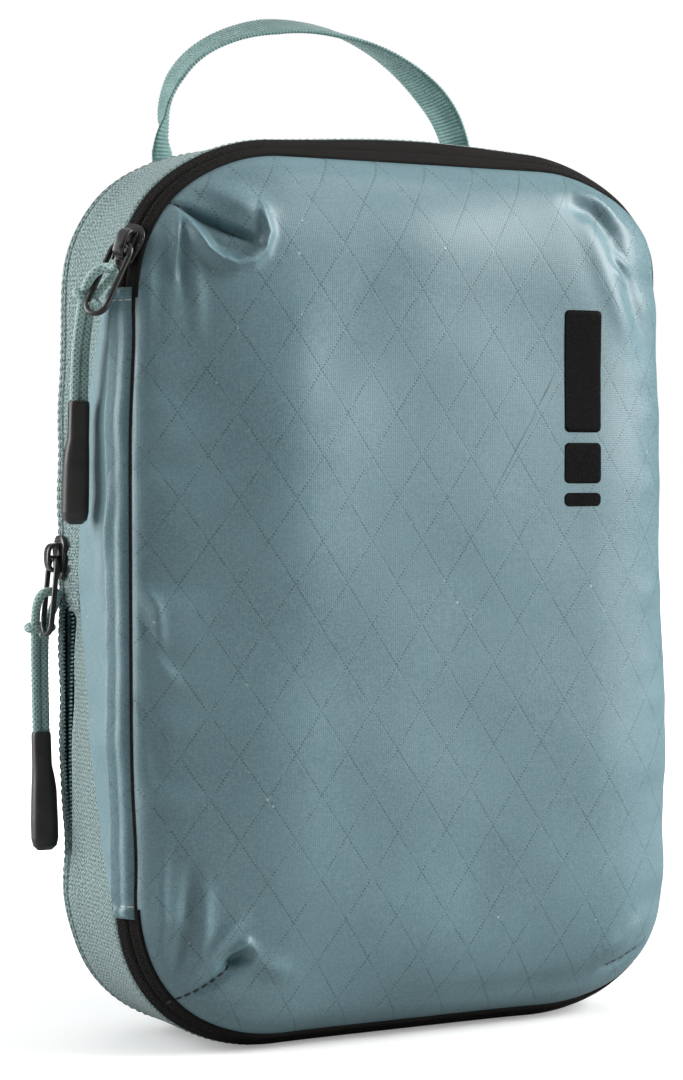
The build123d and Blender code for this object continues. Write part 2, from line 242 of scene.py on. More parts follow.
# Folds of the front panel: route in mm, width, height, lean
PANEL_FOLDS = [
    ([(-79.7, 241.5), (-76.1, 239.7)], 1.2, -1.5, 0),
    ([(-77.6, 240.5), (-70.4, 237), (-63.5, 233.7), (-55.6, 230.2)], 0.9, -3.2, 0),
    ([(-76, 239), (-70, 235.8), (-63.5, 232.6), (-57.4, 230)], 2.3, -3, 0.3),
    ([(-75.4, 238.6), (-72.6, 232.7), (-69.8, 227.6), (-66.2, 224.8), (-62.6, 223.6), (-58.3, 224.8),
      (-54.8, 227.8), (-52.8, 232.7), (-53.8, 238.5)], 1.7, 3.4, 0.2),
    ([(-69.6, 233), (-65.4, 228.4), (-60.4, 227.4)], 2, -1.8, 0),
    ([(-76.3, 239), (-77.4, 230), (-78.2, 219)], 1.1, 1.3, 0.2),
    ([(-75, 237), (-75.6, 228), (-75.8, 214)], 1.5, -1, 0),
    ([(-73.6, 235), (-73.2, 226), (-72, 205)], 2.2, 0.8, 0),
    ([(-79.5, 238), (-82, 224), (-83, 206)], 2.4, -0.9, 0),
    ([(-80.5, 236), (-84, 220), (-85, 200)], 1.8, 0.6, 0),
    ([(-78.3, 16.6), (-69.4, 21.5), (-62, 27.5)], 1.5, -1.9, 0.2),
    ([(-64.5, 26.4), (-59, 30.5)], 2, -3.2, 0),
    ([(-64, 30.5), (-59.5, 33.5), (-56.5, 30)], 1.6, 1.6, 0),
    ([(-72, 27), (-67, 34), (-61, 40)], 2.4, 1.5, 0),
    ([(-78, 24), (-76, 38), (-75, 54)], 2, -1.4, 0),
    ([(-74.5, 24), (-71.5, 36), (-71, 50)], 2.2, 1.3, 0),
    ([(-82, 30), (-82.5, 44), (-82, 62)], 1.7, 1, 0),
    ([(-56, 27), (-46, 24)], 3, 0.9, 0),
    ([(50, 250.5), (57, 247.6), (64.5, 242)], 2.6, 2.9, 0.4),
    ([(47, 244.5), (55, 243), (62, 236.5)], 3.2, -2.2, 0),
    ([(61.5, 230.5), (66.5, 226)], 1.5, 1.5, 0),
    ([(60, 226.5), (65, 221.5)], 1.5, 1.3, 0),
    ([(58, 240), (66, 222), (73, 204)], 3.2, -1.4, 0),
    ([(52, 238), (58, 222), (66, 205)], 4, 1.1, 0),
    ([(60, 15.6), (67.5, 17.6), (75.5, 21.6)], 1.4, -1.9, 0.3),
    ([(58, 21), (66, 24), (73, 30)], 3, 1.2, 0),
    ([(-88, 136), (-84, 129), (-82.5, 118)], 1.7, 1.2, 0),
    ([(-88, 122), (-84.5, 114), (-79, 108)], 1.9, 1, 0),
    ([(-87, 129), (-85.5, 120), (-84.5, 110)], 1.4, -0.9, 0),
    ([(-88, 104), (-84.5, 94), (-83, 80)], 1.8, -1, 0),
    ([(-20, 222), (-34, 200), (-42, 172)], 9, -0.9, 0),
    ([(20, 60), (8, 40), (-16, 28)], 9, -0.8, 0),
]
PANEL_LUMPS = [
    ((-59.5, 240.5), (8, 4.6), -28, 2.6),
    ((-69, 245.5), (7, 3), -20, 1),
    ((-60.6, 28.8), (2.6, 2), 20, -1.6),
    ((68, 236), (5, 7), 20, 0.8),
    ((-8, 232), (26, 9), 8, 1),
    ((-42, 178), (17, 44), -6, 2.3),
    ((-50, 78), (15, 30), 12, 1.2),
    ((-74, 205), (9, 22), 0, -1.2),
]
# The panel rises from its seam in a rounded crest and then a flat dome, slack at its left
CREST, CREST_REACH, CREST_POWER = 5.4 * MM, 4.2 * MM, 0.85
DOME, DOME_REACH, DOME_POWER = 10.4 * MM, 38 * MM, 2.2
LEFT_SLACK, LEFT_REACH = 0.58, 92 * MM
LEFT_STRETCH, STRETCH_WIDTH = 16 * MM, 60 * MM
DETAIL_FROM_EDGE = 3 * MM
PUCKER, PUCKER_AT, PUCKER_SPREAD = 0.8, 5 * MM, 8 * MM


def front_y(x, z):
    """Depth of the front panel's outer surface."""
    d = np.maximum(edge_distance(x, z) - FRONT_INSET, 0)
    crest = CREST * (1 - np.exp(-((d / CREST_REACH) ** CREST_POWER)))
    slack = 1 - LEFT_SLACK * (1 - np.clip((x + HALF_WIDTH) / LEFT_REACH, 0, 1)) ** 2
    reach = DOME_REACH + LEFT_STRETCH * smooth_step(-x, 0, STRETCH_WIDTH)
    dome = DOME * slack * (1 - (1 - np.clip(d / reach, 0, 1)) ** DOME_POWER)
    inwards = 1 - np.exp(-d / DETAIL_FROM_EDGE)
    near_edge = np.exp(-((d - PUCKER_AT) / PUCKER_SPREAD) ** 2)
    detail = ripple(x, z, SOFT_WAVES) + PUCKER * near_edge * ripple(x, z, EDGE_WAVES)
    for shape in PANEL_FOLDS:
        detail = detail + fold(x, z, *shape)
    for lump in PANEL_LUMPS:
        detail = detail + bump(x, z, *lump)
    return SEAM_Y - crest - dome - inwards * detail * MM


# ---- mesh helpers ----


def travelled(path):
    """Distance along a path at each of its points."""
    return np.concatenate([[0], np.cumsum(np.linalg.norm(np.diff(path, axis=0), axis=1))])


def turns(count, start=0.0):
    """Angles evenly round a circle."""
    return (np.arange(count) + start) * 2 * math.pi / count


def unit(vectors):
    """Vectors brought to a length of 1."""
    return vectors / np.linalg.norm(vectors, axis=-1, keepdims=True)


def squarer(values, power):
    """Cosines or sines bent towards a square outline; a lower power is squarer."""
    return np.sign(values) * np.abs(values) ** power


def rounded_rectangle(half, corner, count):
    """Points round a rectangle with round corners; half is its half size up to the corners' arcs."""
    angles = turns(count)
    direction = np.stack([np.cos(angles), np.sin(angles)], 1)
    return np.sign(np.round(direction, 9)) * half + corner * direction


def round_over(rim):
    """Height of a rounded edge, from 0 at the rim to 1 where rim reaches 1."""
    return np.sqrt(np.clip(1 - (1 - np.clip(rim, 0, 1)) ** 2, 0, 1))


def linked(name, data):
    """A new object in the scene."""
    made = bpy.data.objects.new(name, data)
    bpy.context.scene.collection.objects.link(made)
    return made


def grid_object(name, points, material, wrap_rows=False, wrap_columns=False, caps=False, lengths=None):
    """Quad mesh through a grid of points [rows, columns, 3], with a UV map in metres called weave.

    lengths gives u at each column and v at each row, where they aren't measured on the mesh.
    """
    rows, columns = points.shape[:2]
    i = np.arange(rows if wrap_rows else rows - 1)
    j = np.arange(columns if wrap_columns else columns - 1)
    ii, jj = (a.ravel() for a in np.meshgrid(i, j, indexing="ij"))
    nexti, nextj = (ii + 1) % rows, (jj + 1) % columns
    corners = [ii * columns + jj, ii * columns + nextj, nexti * columns + nextj, nexti * columns + jj]
    faces = np.stack(corners, 1).tolist()
    if caps:
        faces.append(list(range(columns))[::-1])
        faces.append(list(range((rows - 1) * columns, rows * columns)))
    mesh = bpy.data.meshes.new(name)
    mesh.from_pydata(points.reshape(-1, 3).tolist(), [], faces)
    if lengths is None:
        lengths = [travelled(np.vstack([line, line[:1]])) for line in (points[rows // 2], points[:, 0])]
    u, v = lengths
    corner_u = np.stack([u[jj], u[jj + 1], u[jj + 1], u[jj]], 1)
    corner_v = np.stack([v[ii], v[ii], v[ii + 1], v[ii + 1]], 1)
    uv = np.zeros((len(mesh.loops), 2))
    uv[: 4 * len(ii)] = np.stack([corner_u, corner_v], 2).reshape(-1, 2)
    mesh.uv_layers.new(name="weave").data.foreach_set("uv", uv.ravel())
    return finish_mesh(name, mesh, material)


def finish_mesh(name, mesh, material, smooth=True):
    """Makes an object of a mesh, with outward normals and one material."""
    work = bmesh.new()
    work.from_mesh(mesh)
    bmesh.ops.recalc_face_normals(work, faces=work.faces)
    work.to_mesh(mesh)
    work.free()
    mesh.polygons.foreach_set("use_smooth", [smooth] * len(mesh.polygons))
    mesh.materials.append(material)
    return linked(name, mesh)


def add_piece(piece, body, slot, *nodes):
    """Puts a piece on its body, in place of its CAD nodes. Its slot is not used."""
    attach(piece, body)
    if nodes:
        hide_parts(*nodes)
    return piece


def shell(outer, inner):
    """Rows of an outer and an inner surface as one closed cross-section."""
    return np.concatenate([outer, inner[::-1]])


# ---- materials ----


def add_node(tree, kind, inputs=(), **settings):
    """Adds a shader node; each of its inputs is a socket to link or a constant."""
    made = tree.nodes.new(kind)
    for key, value in settings.items():
        setattr(made, key, value)
    for key, value in dict(inputs).items():
        if isinstance(value, bpy.types.NodeSocket):
            tree.links.new(value, made.inputs[key])
        else:
            made.inputs[key].default_value = value
    return made


class Finish:
    """A procedural material: a Principled shader and short helpers that add nodes to it."""

    def __init__(self, name, roughness, specular=0.5, **sockets):
        self.material = bpy.data.materials.new(name)
        self.material.use_nodes = True
        self.tree = self.material.node_tree
        self.shader = self.tree.nodes["Principled BSDF"]
        self.shader.inputs["Roughness"].default_value = roughness
        self.shader.inputs["Specular IOR Level"].default_value = specular
        for socket, value in sockets.items():
            self.shader.inputs[socket.replace("_", " ")].default_value = value

    def node(self, kind, inputs=(), **settings):
        return add_node(self.tree, kind, inputs, **settings)

    def math(self, operation, a, b=0.0, c=0.0):
        return self.node("ShaderNodeMath", {0: a, 1: b, 2: c}, operation=operation).outputs[0]

    def times(self, a, b):
        return self.math("MULTIPLY", a, b)

    def times_add(self, a, b, c):
        return self.math("MULTIPLY_ADD", a, b, c)

    def off_round(self, value):
        """Signed distance from the nearest whole number."""
        return self.math("SUBTRACT", value, self.math("ROUND", value))

    def place(self):
        """The point in the object's own frame, in metres."""
        return self.node("ShaderNodeTexCoord").outputs["Object"]

    def weave(self):
        """The point on the cloth: along and across it, in metres."""
        return self.node("ShaderNodeUVMap", uv_map="weave").outputs[0]

    def split(self, place):
        """The three parts of a point."""
        return list(self.node("ShaderNodeSeparateXYZ", {0: place}).outputs)

    def noise(self, place, scale, detail=2.0, roughness=0.5):
        inputs = {"Vector": place, "Scale": scale, "Detail": detail, "Roughness": roughness}
        return self.node("ShaderNodeTexNoise", inputs).outputs["Fac"]

    def wave(self, coordinate, period):
        """A sine between 0 and 1."""
        turn = self.times_add(coordinate, 2 * math.pi / period, 0.0)
        return self.times_add(self.math("SINE", turn), 0.5, 0.5)

    def fit(self, value, low, high, to_low=0.0, to_high=1.0):
        """A value's smooth rise from to_low at low to to_high at high."""
        inputs = {"Value": value, "From Min": low, "From Max": high, "To Min": to_low, "To Max": to_high}
        return self.node("ShaderNodeMapRange", inputs, interpolation_type="SMOOTHSTEP").outputs["Result"]

    def blend(self, share, *colours):
        """From one colour to another by a share from 0 to 1."""
        first, second = ((*c, 1.0) if isinstance(c, tuple) else c for c in colours)
        return self.node("ShaderNodeMix", {0: share, 6: first, 7: second}, data_type="RGBA").outputs[2]

    def set(self, socket, value):
        self.tree.links.new(value, self.shader.inputs[socket])

    def colour(self, share, dark, light):
        self.set("Base Color", self.blend(share, dark, light))

    def raise_by(self, height, distance, strength=1.0):
        """Bumps the surface by a height from 0 to 1."""
        inputs = {"Height": height, "Distance": distance, "Strength": strength}
        self.set("Normal", self.node("ShaderNodeBump", inputs).outputs[0])


def for_camera(tree, seen, others):
    """One shader for what the camera sees directly and another for light that bounces."""
    direct = add_node(tree, "ShaderNodeLightPath").outputs["Is Camera Ray"]
    return add_node(tree, "ShaderNodeMixShader", {"Fac": direct, 1: others, 2: seen}).outputs[0]


# The coated cloth's diamonds: their width and height, and the pitch and radius of the dots on their lines
CELL_X, CELL_Z, DOT_PITCH, DOT = 16 * MM, 24 * MM, 1.0 * MM, 0.36 * MM
LATTICE_SHIFT_X, LATTICE_SHIFT_Z = 5.9 * MM, 122.3 * MM
THREAD_PITCH = 0.62 * MM
CLOTH_COLOURS = [(0.104, 0.194, 0.226), (0.128, 0.233, 0.268), (0.20, 0.32, 0.345)]


def lattice(finish, across, up):
    """Dotted diamond lines of the coated cloth, from 0 to 1."""
    slope = math.hypot(CELL_X, CELL_Z)
    lines = []
    for turn in (1, -1):
        cell = finish.times_add(up, 1 / CELL_Z, finish.times(across, turn / CELL_X))
        off = finish.times(finish.off_round(cell), CELL_X * CELL_Z / slope)
        along_line = finish.times_add(up, -turn * CELL_Z / slope, finish.times(across, CELL_X / slope))
        step = finish.times(finish.off_round(finish.math("DIVIDE", along_line, DOT_PITCH)), DOT_PITCH)
        squares = [finish.math("POWER", part, 2) for part in (off, step)]
        distance = finish.math("SQRT", finish.math("ADD", *squares))
        lines.append(finish.fit(distance, DOT * 0.55, DOT * 1.25, 1.0, 0.0))
    return finish.math("MAXIMUM", *lines)


def ripstop(name, flat_axis, painted_lightness=1.0, marks=0.6, gloss=0.72):
    """Coated teal cloth with a dotted diamond lattice, drawn in the plane of Z and the given axis. The third
    argument scales its colours as painted light, for a more brightly lit copy.
    """
    made = Finish(name, 0.42, gloss)
    place = made.place()
    x, y, z = made.split(place)
    across = x if flat_axis == "x" else y
    shifted = made.math("ADD", across, LATTICE_SHIFT_X), made.math("SUBTRACT", z, LATTICE_SHIFT_Z)
    dots = lattice(made, *shifted)
    cloudy = made.fit(made.noise(place, 38.0, 4.0), 0.3, 0.72)
    grain = made.noise(place, 1500.0, 2.0, 0.7)
    threads = made.times(made.wave(across, THREAD_PITCH), made.wave(z, THREAD_PITCH))
    # Painted light: the colours are scaled for a lighter lit copy of the same cloth.
    dark, light, speck = (tuple(part * painted_lightness for part in colour) for colour in CLOTH_COLOURS)
    base = made.blend(cloudy, dark, light)
    speckled = made.blend(made.fit(grain, 0.35, 0.68), base, speck)
    base = made.blend(0.55, base, speckled)
    broken = made.fit(made.noise(place, 260.0, 1.0), 0.38, 0.55, 0.25, 1.0)
    toned = made.blend(made.times(made.times(dots, broken), marks), base, (0.045, 0.085, 0.09))
    glint = made.times(dots, made.fit(made.noise(place, 420.0, 1.0), 0.7, 0.78))
    made.colour(glint, toned, (0.45, 0.56, 0.56))
    made.set("Roughness", made.fit(grain, 0.2, 0.8, 0.38, 0.54))
    height = made.times_add(threads, 0.4, made.times(grain, 0.6))
    made.raise_by(made.math("SUBTRACT", height, made.times(dots, 0.6)), 0.1 * MM, 0.55)
    return made.material


def knit(name):
    """Speckled heather knit with small slanted loops."""
    made = Finish(name, 0.85, 0.15, Sheen_Weight=0.08, Sheen_Roughness=0.5)
    place = made.weave()
    u, v, _ = made.split(place)
    slant = made.math("ADD", u, made.times(made.math("PINGPONG", v, 0.9 * MM), 0.8))
    loops = made.times(made.wave(slant, 1.25 * MM), made.wave(v, 0.9 * MM))
    shade = made.times_add(loops, 0.3, made.noise(place, 1300.0, 2.0, 0.7))
    base = made.blend(made.fit(shade, 0.42, 0.78), (0.07, 0.12, 0.125), (0.43, 0.545, 0.53))
    made.colour(made.times(made.noise(place, 60.0), 0.2), base, (0.25, 0.35, 0.35))
    made.raise_by(shade, 0.35 * MM, 0.8)
    return made.material


def black_weave(name):
    """Black herringbone zipper tape."""
    made = Finish(name, 0.88, 0.12)
    place = made.weave()
    u, v, _ = made.split(place)
    ribs = made.wave(made.math("ADD", u, made.math("PINGPONG", v, 1.1 * MM)), 0.85 * MM)
    shade = made.times_add(ribs, 0.35, made.times(made.noise(place, 1400.0, 2.0, 0.7), 0.75))
    made.colour(made.fit(shade, 0.4, 0.85), (0.004, 0.0038, 0.0036), (0.042, 0.039, 0.037))
    made.raise_by(shade, 0.3 * MM, 0.8)
    return made.material


BRAID_STRANDS, BRAID_PITCH, BRAID_DEPTH, BRAID_LEVEL = 5, 1.5 * MM, 0.1, 0.35


def braided(name, dark, light, gap):
    """Braided polyester cord: the weave map's u is the angle round it and v the length along it. Its gap
    colour is painted shade between the strands.
    """
    made = Finish(name, 0.6, 0.35, Sheen_Weight=0.4, Sheen_Roughness=0.4)
    u, v, _ = made.split(made.weave())
    turn = made.times(v, 2 * math.pi / BRAID_PITCH)
    ways = []
    for way in (1, -1):
        angle = made.times_add(turn, way, made.times(u, BRAID_STRANDS))
        ways.append(made.math("COSINE", angle))
    over = made.fit(made.math("MAXIMUM", *ways), -0.45, 0.6)
    fibres = made.noise(made.place(), 2600.0, 2.0, 0.6)
    # Painted shade: the gap colour darkens the grooves between the strands.
    made.colour(over, gap, made.blend(made.fit(fibres, 0.3, 0.7), dark, light))
    made.raise_by(fibres, 0.12 * MM, 0.5)
    return made.material


def yarn(name, dark, light):
    """Ribbed or spun polyester yarn, shaded by fine noise."""
    made = Finish(name, 0.62, 0.35, Sheen_Weight=0.4, Sheen_Roughness=0.4)
    place = made.place()
    fibres = made.noise(place, 2600.0, 2.0, 0.6)
    shade = made.times_add(fibres, 0.6, made.times(made.noise(place, 220.0), 0.4))
    made.colour(made.fit(shade, 0.3, 0.7), dark, light)
    made.raise_by(fibres, 0.12 * MM, 0.5)
    return made.material


def mottled(name, shader, spots, spread, colours, shine=None, grain=None):
    """Smooth material with soft spots.

    spots is their noise, spread where its colours meet, shine the same for its roughness, and grain a
    noise's scale and detail, its height and its strength.
    """
    made = Finish(name, **shader)
    place = made.place()
    noise = made.noise(place, *spots)
    made.colour(made.fit(noise, *spread), *colours)
    if shine is not None:
        made.set("Roughness", made.fit(noise, *shine))
    if grain is not None:
        scale, detail, height, strength = grain
        made.raise_by(made.noise(place, scale, detail), height, strength)
    return made.material


def floor_finish(name):
    """Plain pale floor that bounces less light than it shows."""
    material = bpy.data.materials.new(name)
    material.use_nodes = True
    tree = material.node_tree
    plain, bounced = (
        add_node(tree, "ShaderNodeBsdfDiffuse", {"Color": (shade, shade, shade, 1.0)}).outputs[0]
        for shade in (0.95, 0.42)
    )
    place = add_node(tree, "ShaderNodeTexCoord").outputs["Object"]
    away = add_node(tree, "ShaderNodeVectorMath", {0: place}, operation="LENGTH").outputs["Value"]
    rise = {"Value": away, "From Min": 0.25, "From Max": 1.1, "To Min": 0.22, "To Max": 1.0}
    strength = add_node(tree, "ShaderNodeMapRange", rise).outputs["Result"]
    # Painted light: to the camera the floor glows, weakly within a quarter metre of the cube and fully beyond
    # 1.1 m.
    lift = add_node(tree, "ShaderNodeEmission", {"Strength": strength}).outputs[0]
    seen = add_node(tree, "ShaderNodeAddShader", {0: plain, 1: lift}).outputs[0]
    tree.links.new(for_camera(tree, seen, bounced), tree.nodes["Material Output"].inputs["Surface"])
    return material


PANEL_CLOTH = ripstop("panel_cloth", "x")
# Painted light: the hinge strip is the panel's cloth with its colours made 15 per cent lighter.
STRIP_CLOTH = ripstop("strip_cloth", "y", 1.15, 0.3, 0.55)
KNIT = knit("heather_knit")
BLACK_TAPE = black_weave("black_tape_weave")
# The cord's third colour is painted shade in the grooves between its strands.
CORD_YARN = braided("cord_yarn", (0.27, 0.42, 0.40), (0.48, 0.65, 0.62), (0.15, 0.265, 0.25))
WEBBING_YARN = yarn("webbing_yarn", (0.10, 0.215, 0.205), (0.21, 0.36, 0.34))
RUBBER = mottled(
    "grip_rubber", {"roughness": 0.42, "specular": 0.45}, (140.0, 3.0), (0.3, 0.7),
    [(0.027, 0.0245, 0.023), (0.042, 0.039, 0.037)], (0.25, 0.75, 0.34, 0.5), (1900.0, 2.0, 0.04 * MM, 0.4),
)
# Enamelled zinc, a little worn on its edges; here the wear is drawn as soft lighter spots spread by noise
WORN_COAT = {"roughness": 0.3, "specular": 0.55, "Coat_Weight": 0.25, "Coat_Roughness": 0.22}
ENAMEL = mottled(
    "slider_enamel", WORN_COAT, (320.0, 4.0, 0.7), (0.62, 0.75),
    [(0.012, 0.0115, 0.011), (0.05, 0.046, 0.042)], (0.3, 0.7, 0.24, 0.42), (900.0, 3.0, 0.04 * MM, 0.3),
)
COIL_SHADER = {"roughness": 0.45, "specular": 0.4}
BLACK_COIL, GREEN_COIL = [(0.008,) * 3, (0.02,) * 3], [(0.018, 0.05, 0.05), (0.11, 0.20, 0.19)]
BLACK_NYLON = mottled("black_coil_nylon", COIL_SHADER, (700.0,), (0.3, 0.7), BLACK_COIL)
GREEN_NYLON = mottled("green_coil_nylon", COIL_SHADER, (700.0,), (0.3, 0.7), GREEN_COIL)
PRINT = mottled(
    "black_print", {"roughness": 0.75, "specular": 0.08}, (1500.0,), (0.3, 0.75),
    [(0.002,) * 3, (0.008,) * 3], grain=(1500.0, 2.0, 0.05 * MM, 0.4),
)
DARK_THREAD = yarn("dark_thread", (0.01, 0.015, 0.015), (0.03, 0.04, 0.04))
WHITE_THREAD = yarn("white_thread", (0.5, 0.55, 0.54), (0.8, 0.85, 0.83))
TEAL_THREAD = yarn("teal_thread", (0.05, 0.09, 0.095), (0.11, 0.18, 0.18))


# ---- panels ----

CLOTH = 0.9 * MM
SEAM_ROWS, FLAT_ROWS = 64, 84
FLAT_FROM = 40 * MM
ROW_POWER = 1.7
SMALLEST = 0.004
SEAM_LAP = 0.2 * MM


def panel_rows(seam_inset, cloth_inset=0.0):
    """Flat positions (x, z) of a panel's rows, from its seam inwards to a small ring at its middle."""
    rows = []
    for step in np.linspace(0, 1, SEAM_ROWS) ** ROW_POWER:
        rows.append(OUTLINE - NORMALS * (seam_inset + cloth_inset + (FLAT_FROM - seam_inset) * step))
    last = rows[-1]
    centre = np.array([0, HEIGHT / 2])
    for share in np.linspace(1, SMALLEST, FLAT_ROWS)[1:]:
        rows.append(centre + (last - centre) * share)
    return np.array(rows)


RIGHT_OVERHANG, LEFT_OVERHANG = 0.9 * MM, 0.5 * MM
OVERHANG_REACH = 2.4 * MM
RIGHT_POWER, LEFT_POWER = 1.5, 6


def overhang(flat, seam_inset):
    """Moves a panel's rim outwards, where the cloth bulges over its seam at the right and the left."""
    d = np.maximum(edge_distance(flat[..., 0], flat[..., 1]) - seam_inset, 0) / OVERHANG_REACH
    facing = NORMALS[:, 0][None, :]
    right, left = (np.clip(side, 0, 1) for side in (facing, -facing))
    size = RIGHT_OVERHANG * right**RIGHT_POWER + LEFT_OVERHANG * left**LEFT_POWER
    return flat + (size * d * np.exp(1 - d))[..., None] * NORMALS[None]


def panel_shell(name, seam_inset, depth, inward, material):
    """Closed shell of a panel: depth(x, z) is its outer surface, and inward the side its lining is on."""
    outer = panel_rows(seam_inset)
    inner = panel_rows(seam_inset, CLOTH)
    layers = []
    for flat, lift in ((outer[::-1], 0.0), (inner, inward * CLOTH)):
        y = depth(flat[..., 0], flat[..., 1]) + lift
        moved = overhang(flat, seam_inset)
        layers.append(np.stack([moved[..., 0], y, moved[..., 1]], axis=2))
    return grid_object(name, np.concatenate(layers), material, wrap_columns=True, caps=True)


BACK_WAVES = [(0.4, 73, 15, 0.2), (0.35, 92, 100, 1.1), (0.2, 41, 130, 2.4)]
BACK_CREST, BACK_REACH = 3.6 * MM, 7 * MM
BACK_DOME = 1.6 * MM
BACK_WAVES_FROM = 8 * MM


def back_y(x, z):
    """Depth of the back panel's outer surface."""
    d = np.maximum(edge_distance(x, z) - BACK_INSET, 0)
    crest = BACK_CREST * (1 - np.exp(-d / BACK_REACH))
    dome = BACK_DOME * (1 - np.exp(-((d / DOME_REACH) ** 2)))
    return BACK_SEAM_Y + crest + dome + ripple(x, z, BACK_WAVES) * MM * (1 - np.exp(-d / BACK_WAVES_FROM))


front_panel = panel_shell("front_panel_cloth", FRONT_INSET - SEAM_LAP, front_y, 1, PANEL_CLOTH)
add_piece(front_panel, LID, "ripstop", "lid_panel")
back_panel = panel_shell("back_panel_cloth", BACK_INSET - SEAM_LAP, back_y, -1, PANEL_CLOTH)
add_piece(back_panel, BACK, "ripstop", "back_panel")


# ---- side wall ----


def band(name, stations, thickness, material, lift=None, shift=None):
    """Ring of cloth round the body through (y, extra inset) stations, in metres.

    lift(x, y, z) raises the cloth and shift(x, y, z) moves it along Y.
    """
    outer, inner = [], []
    x, z = OUTLINE[:, 0], OUTLINE[:, 1]
    for flat_y, extra in stations:
        y = np.full(AROUND, flat_y) if shift is None else flat_y + shift(x, flat_y, z)
        inset = side_inset(y) + extra
        if lift is not None:
            inset = inset - lift(x, y, z)
        outer.append(ring(y, inset))
        inner.append(ring(y, side_inset(y) + thickness))
    points = shell(np.array(outer), np.array(inner))
    return grid_object(name, points, material, wrap_rows=True, wrap_columns=True)


def rolled(y_front, y_back, step, roll, depth):
    """Stations between two depths with rolled edges."""
    count = max(int(round((y_back - y_front) / step)), 4)
    depths = np.linspace(y_front, y_back, count + 1)
    return [(y, depth * (1 - round_over(min(y - y_front, y_back - y) / roll))) for y in depths]


WALL_WAVES = [(0.25, 37, 90, 0.5), (0.2, 23, 90, 2.2), (0.14, 61, 20, 1.4)]
WALL_WAVE_SIZE, WALL_WAVES_FROM = 0.6, 6 * MM


def wall_lift(x, y, z):
    """Soft unevenness of the side wall, in metres."""
    inside = np.clip((y - KNIT_FRONT_Y) / WALL_WAVES_FROM, 0, 1)
    return ripple(x + y, z, WALL_WAVES) * MM * inside * WALL_WAVE_SIZE


WALL_STEP = 0.8 * MM
GROOVE = 0.22 * MM
KNIT_THICK, KNIT_ROLL, KNIT_ROLL_DEPTH = 1.1 * MM, 1.0 * MM, 0.8 * MM
FRONT_GAPE_HIGH, FRONT_GAPE_LOW, BACK_GAPE = 8.2 * MM, 2.4 * MM, 1.6 * MM
GAPE_LOW_Z, GAPE_HIGH_Z = 44 * MM, 130 * MM
GAPE_RISE, GAPE_FALL = 30 * MM, 7 * MM
FRONT_REACH, BACK_REACH_Y = 16 * MM, 8 * MM


def gape(x, z, side):
    """How far each tape stands back from the compression zipper's line, below the parked slider."""
    rising = smooth_step(z, GAPE_LOW_Z, GAPE_LOW_Z + GAPE_RISE)
    falling = 1 - smooth_step(z, GAPE_HIGH_Z - GAPE_FALL, GAPE_HIGH_Z)
    share = np.clip((z - GAPE_LOW_Z) / (GAPE_HIGH_Z - GAPE_LOW_Z), 0, 1)
    size = BACK_GAPE if side > 0 else FRONT_GAPE_LOW + (FRONT_GAPE_HIGH - FRONT_GAPE_LOW) * share**1.5
    return size * rising * falling * (x < 0)


def front_shift(x, y, z):
    """Draws the front tape's edge away from the compression line."""
    return -gape(x, z, -1) * smooth_step(y, COMPRESSION_LINE_Y - FRONT_REACH, COMPRESSION_LINE_Y)


def back_shift(x, y, z):
    """Draws the back tape's edge away from the compression line."""
    return gape(x, z, 1) * (1 - smooth_step(y, COMPRESSION_LINE_Y, COMPRESSION_LINE_Y + BACK_REACH_Y))


def knit_band(name, y_front, y_back, shift):
    """Part of the knit side wall between two depths."""
    stations = rolled(y_front, y_back, WALL_STEP, KNIT_ROLL, KNIT_ROLL_DEPTH)
    return band(name, stations, KNIT_THICK, KNIT, wall_lift, shift)


knit_wall = knit_band("knit_side_wall", KNIT_FRONT_Y, COMPRESSION_LINE_Y - GROOVE, front_shift)
add_piece(knit_wall, FRONT, "knit", "gusset_wall", "compression_tape_front")
back_wall = knit_band("knit_back_wall", COMPRESSION_LINE_Y + GROOVE, BACK_SEAM_Y, back_shift)
add_piece(back_wall, BACK, "knit", "back_wall", "compression_tape_back")

TAPE_STEP, TAPE_ROLL, TAPE_ROLL_DEPTH, TAPE_THICK = 0.3 * MM, 0.5 * MM, 0.4 * MM, 1.0 * MM
RIDGE, RIDGE_AT, RIDGE_SPREAD = 0.15 * MM, 1.1 * MM, 0.6 * MM
CHAIN_GAP = 0.1 * MM


def tape_lift(y):
    """Height of the zipper tape's ridges beside the chain."""
    beside = abs(abs(y - MAIN_LINE_Y) - RIDGE_AT)
    return RIDGE * math.exp(-((beside / RIDGE_SPREAD) ** 2))


def tape_band(name, y_front, y_back):
    """Half of the main zipper's tape."""
    flat = rolled(y_front, y_back, TAPE_STEP, TAPE_ROLL, TAPE_ROLL_DEPTH)
    return band(name, [(y, extra - tape_lift(y)) for y, extra in flat], TAPE_THICK, BLACK_TAPE)


lid_tape = tape_band("lid_zipper_tape", SEAM_Y, MAIN_LINE_Y - CHAIN_GAP)
add_piece(lid_tape, LID, "black_tape", "lid_tape")
body_tape = tape_band("body_zipper_tape", MAIN_LINE_Y + CHAIN_GAP, KNIT_FRONT_Y)
add_piece(body_tape, FRONT, "black_tape", "main_tape_body", "main_tape_end")


# ---- tubes and small parts ----


def sweep_frames(path, closed):
    """Two directions across a path at each of its points, without twist."""
    ahead = np.roll(path, -1, 0) - np.roll(path, 1, 0)
    if not closed:
        ahead[0], ahead[-1] = path[1] - path[0], path[-1] - path[-2]
    ahead = unit(ahead)
    side = np.cross(ahead[0], [0.3, 1.0, 0.2])
    sides = []
    for direction in ahead:
        side = unit(side - direction * np.dot(side, direction))
        sides.append(side)
    sides = np.array(sides)
    return sides, np.cross(ahead, sides)


def rings_round(path, sizes, angles, closed=False):
    """Rings round a path; sizes are their radii at each point of the path and each angle."""
    across, up = sweep_frames(path, closed)
    circle = np.cos(angles)[None, :, None] * across[:, None] + np.sin(angles)[None, :, None] * up[:, None]
    return path[:, None] + sizes[..., None] * circle


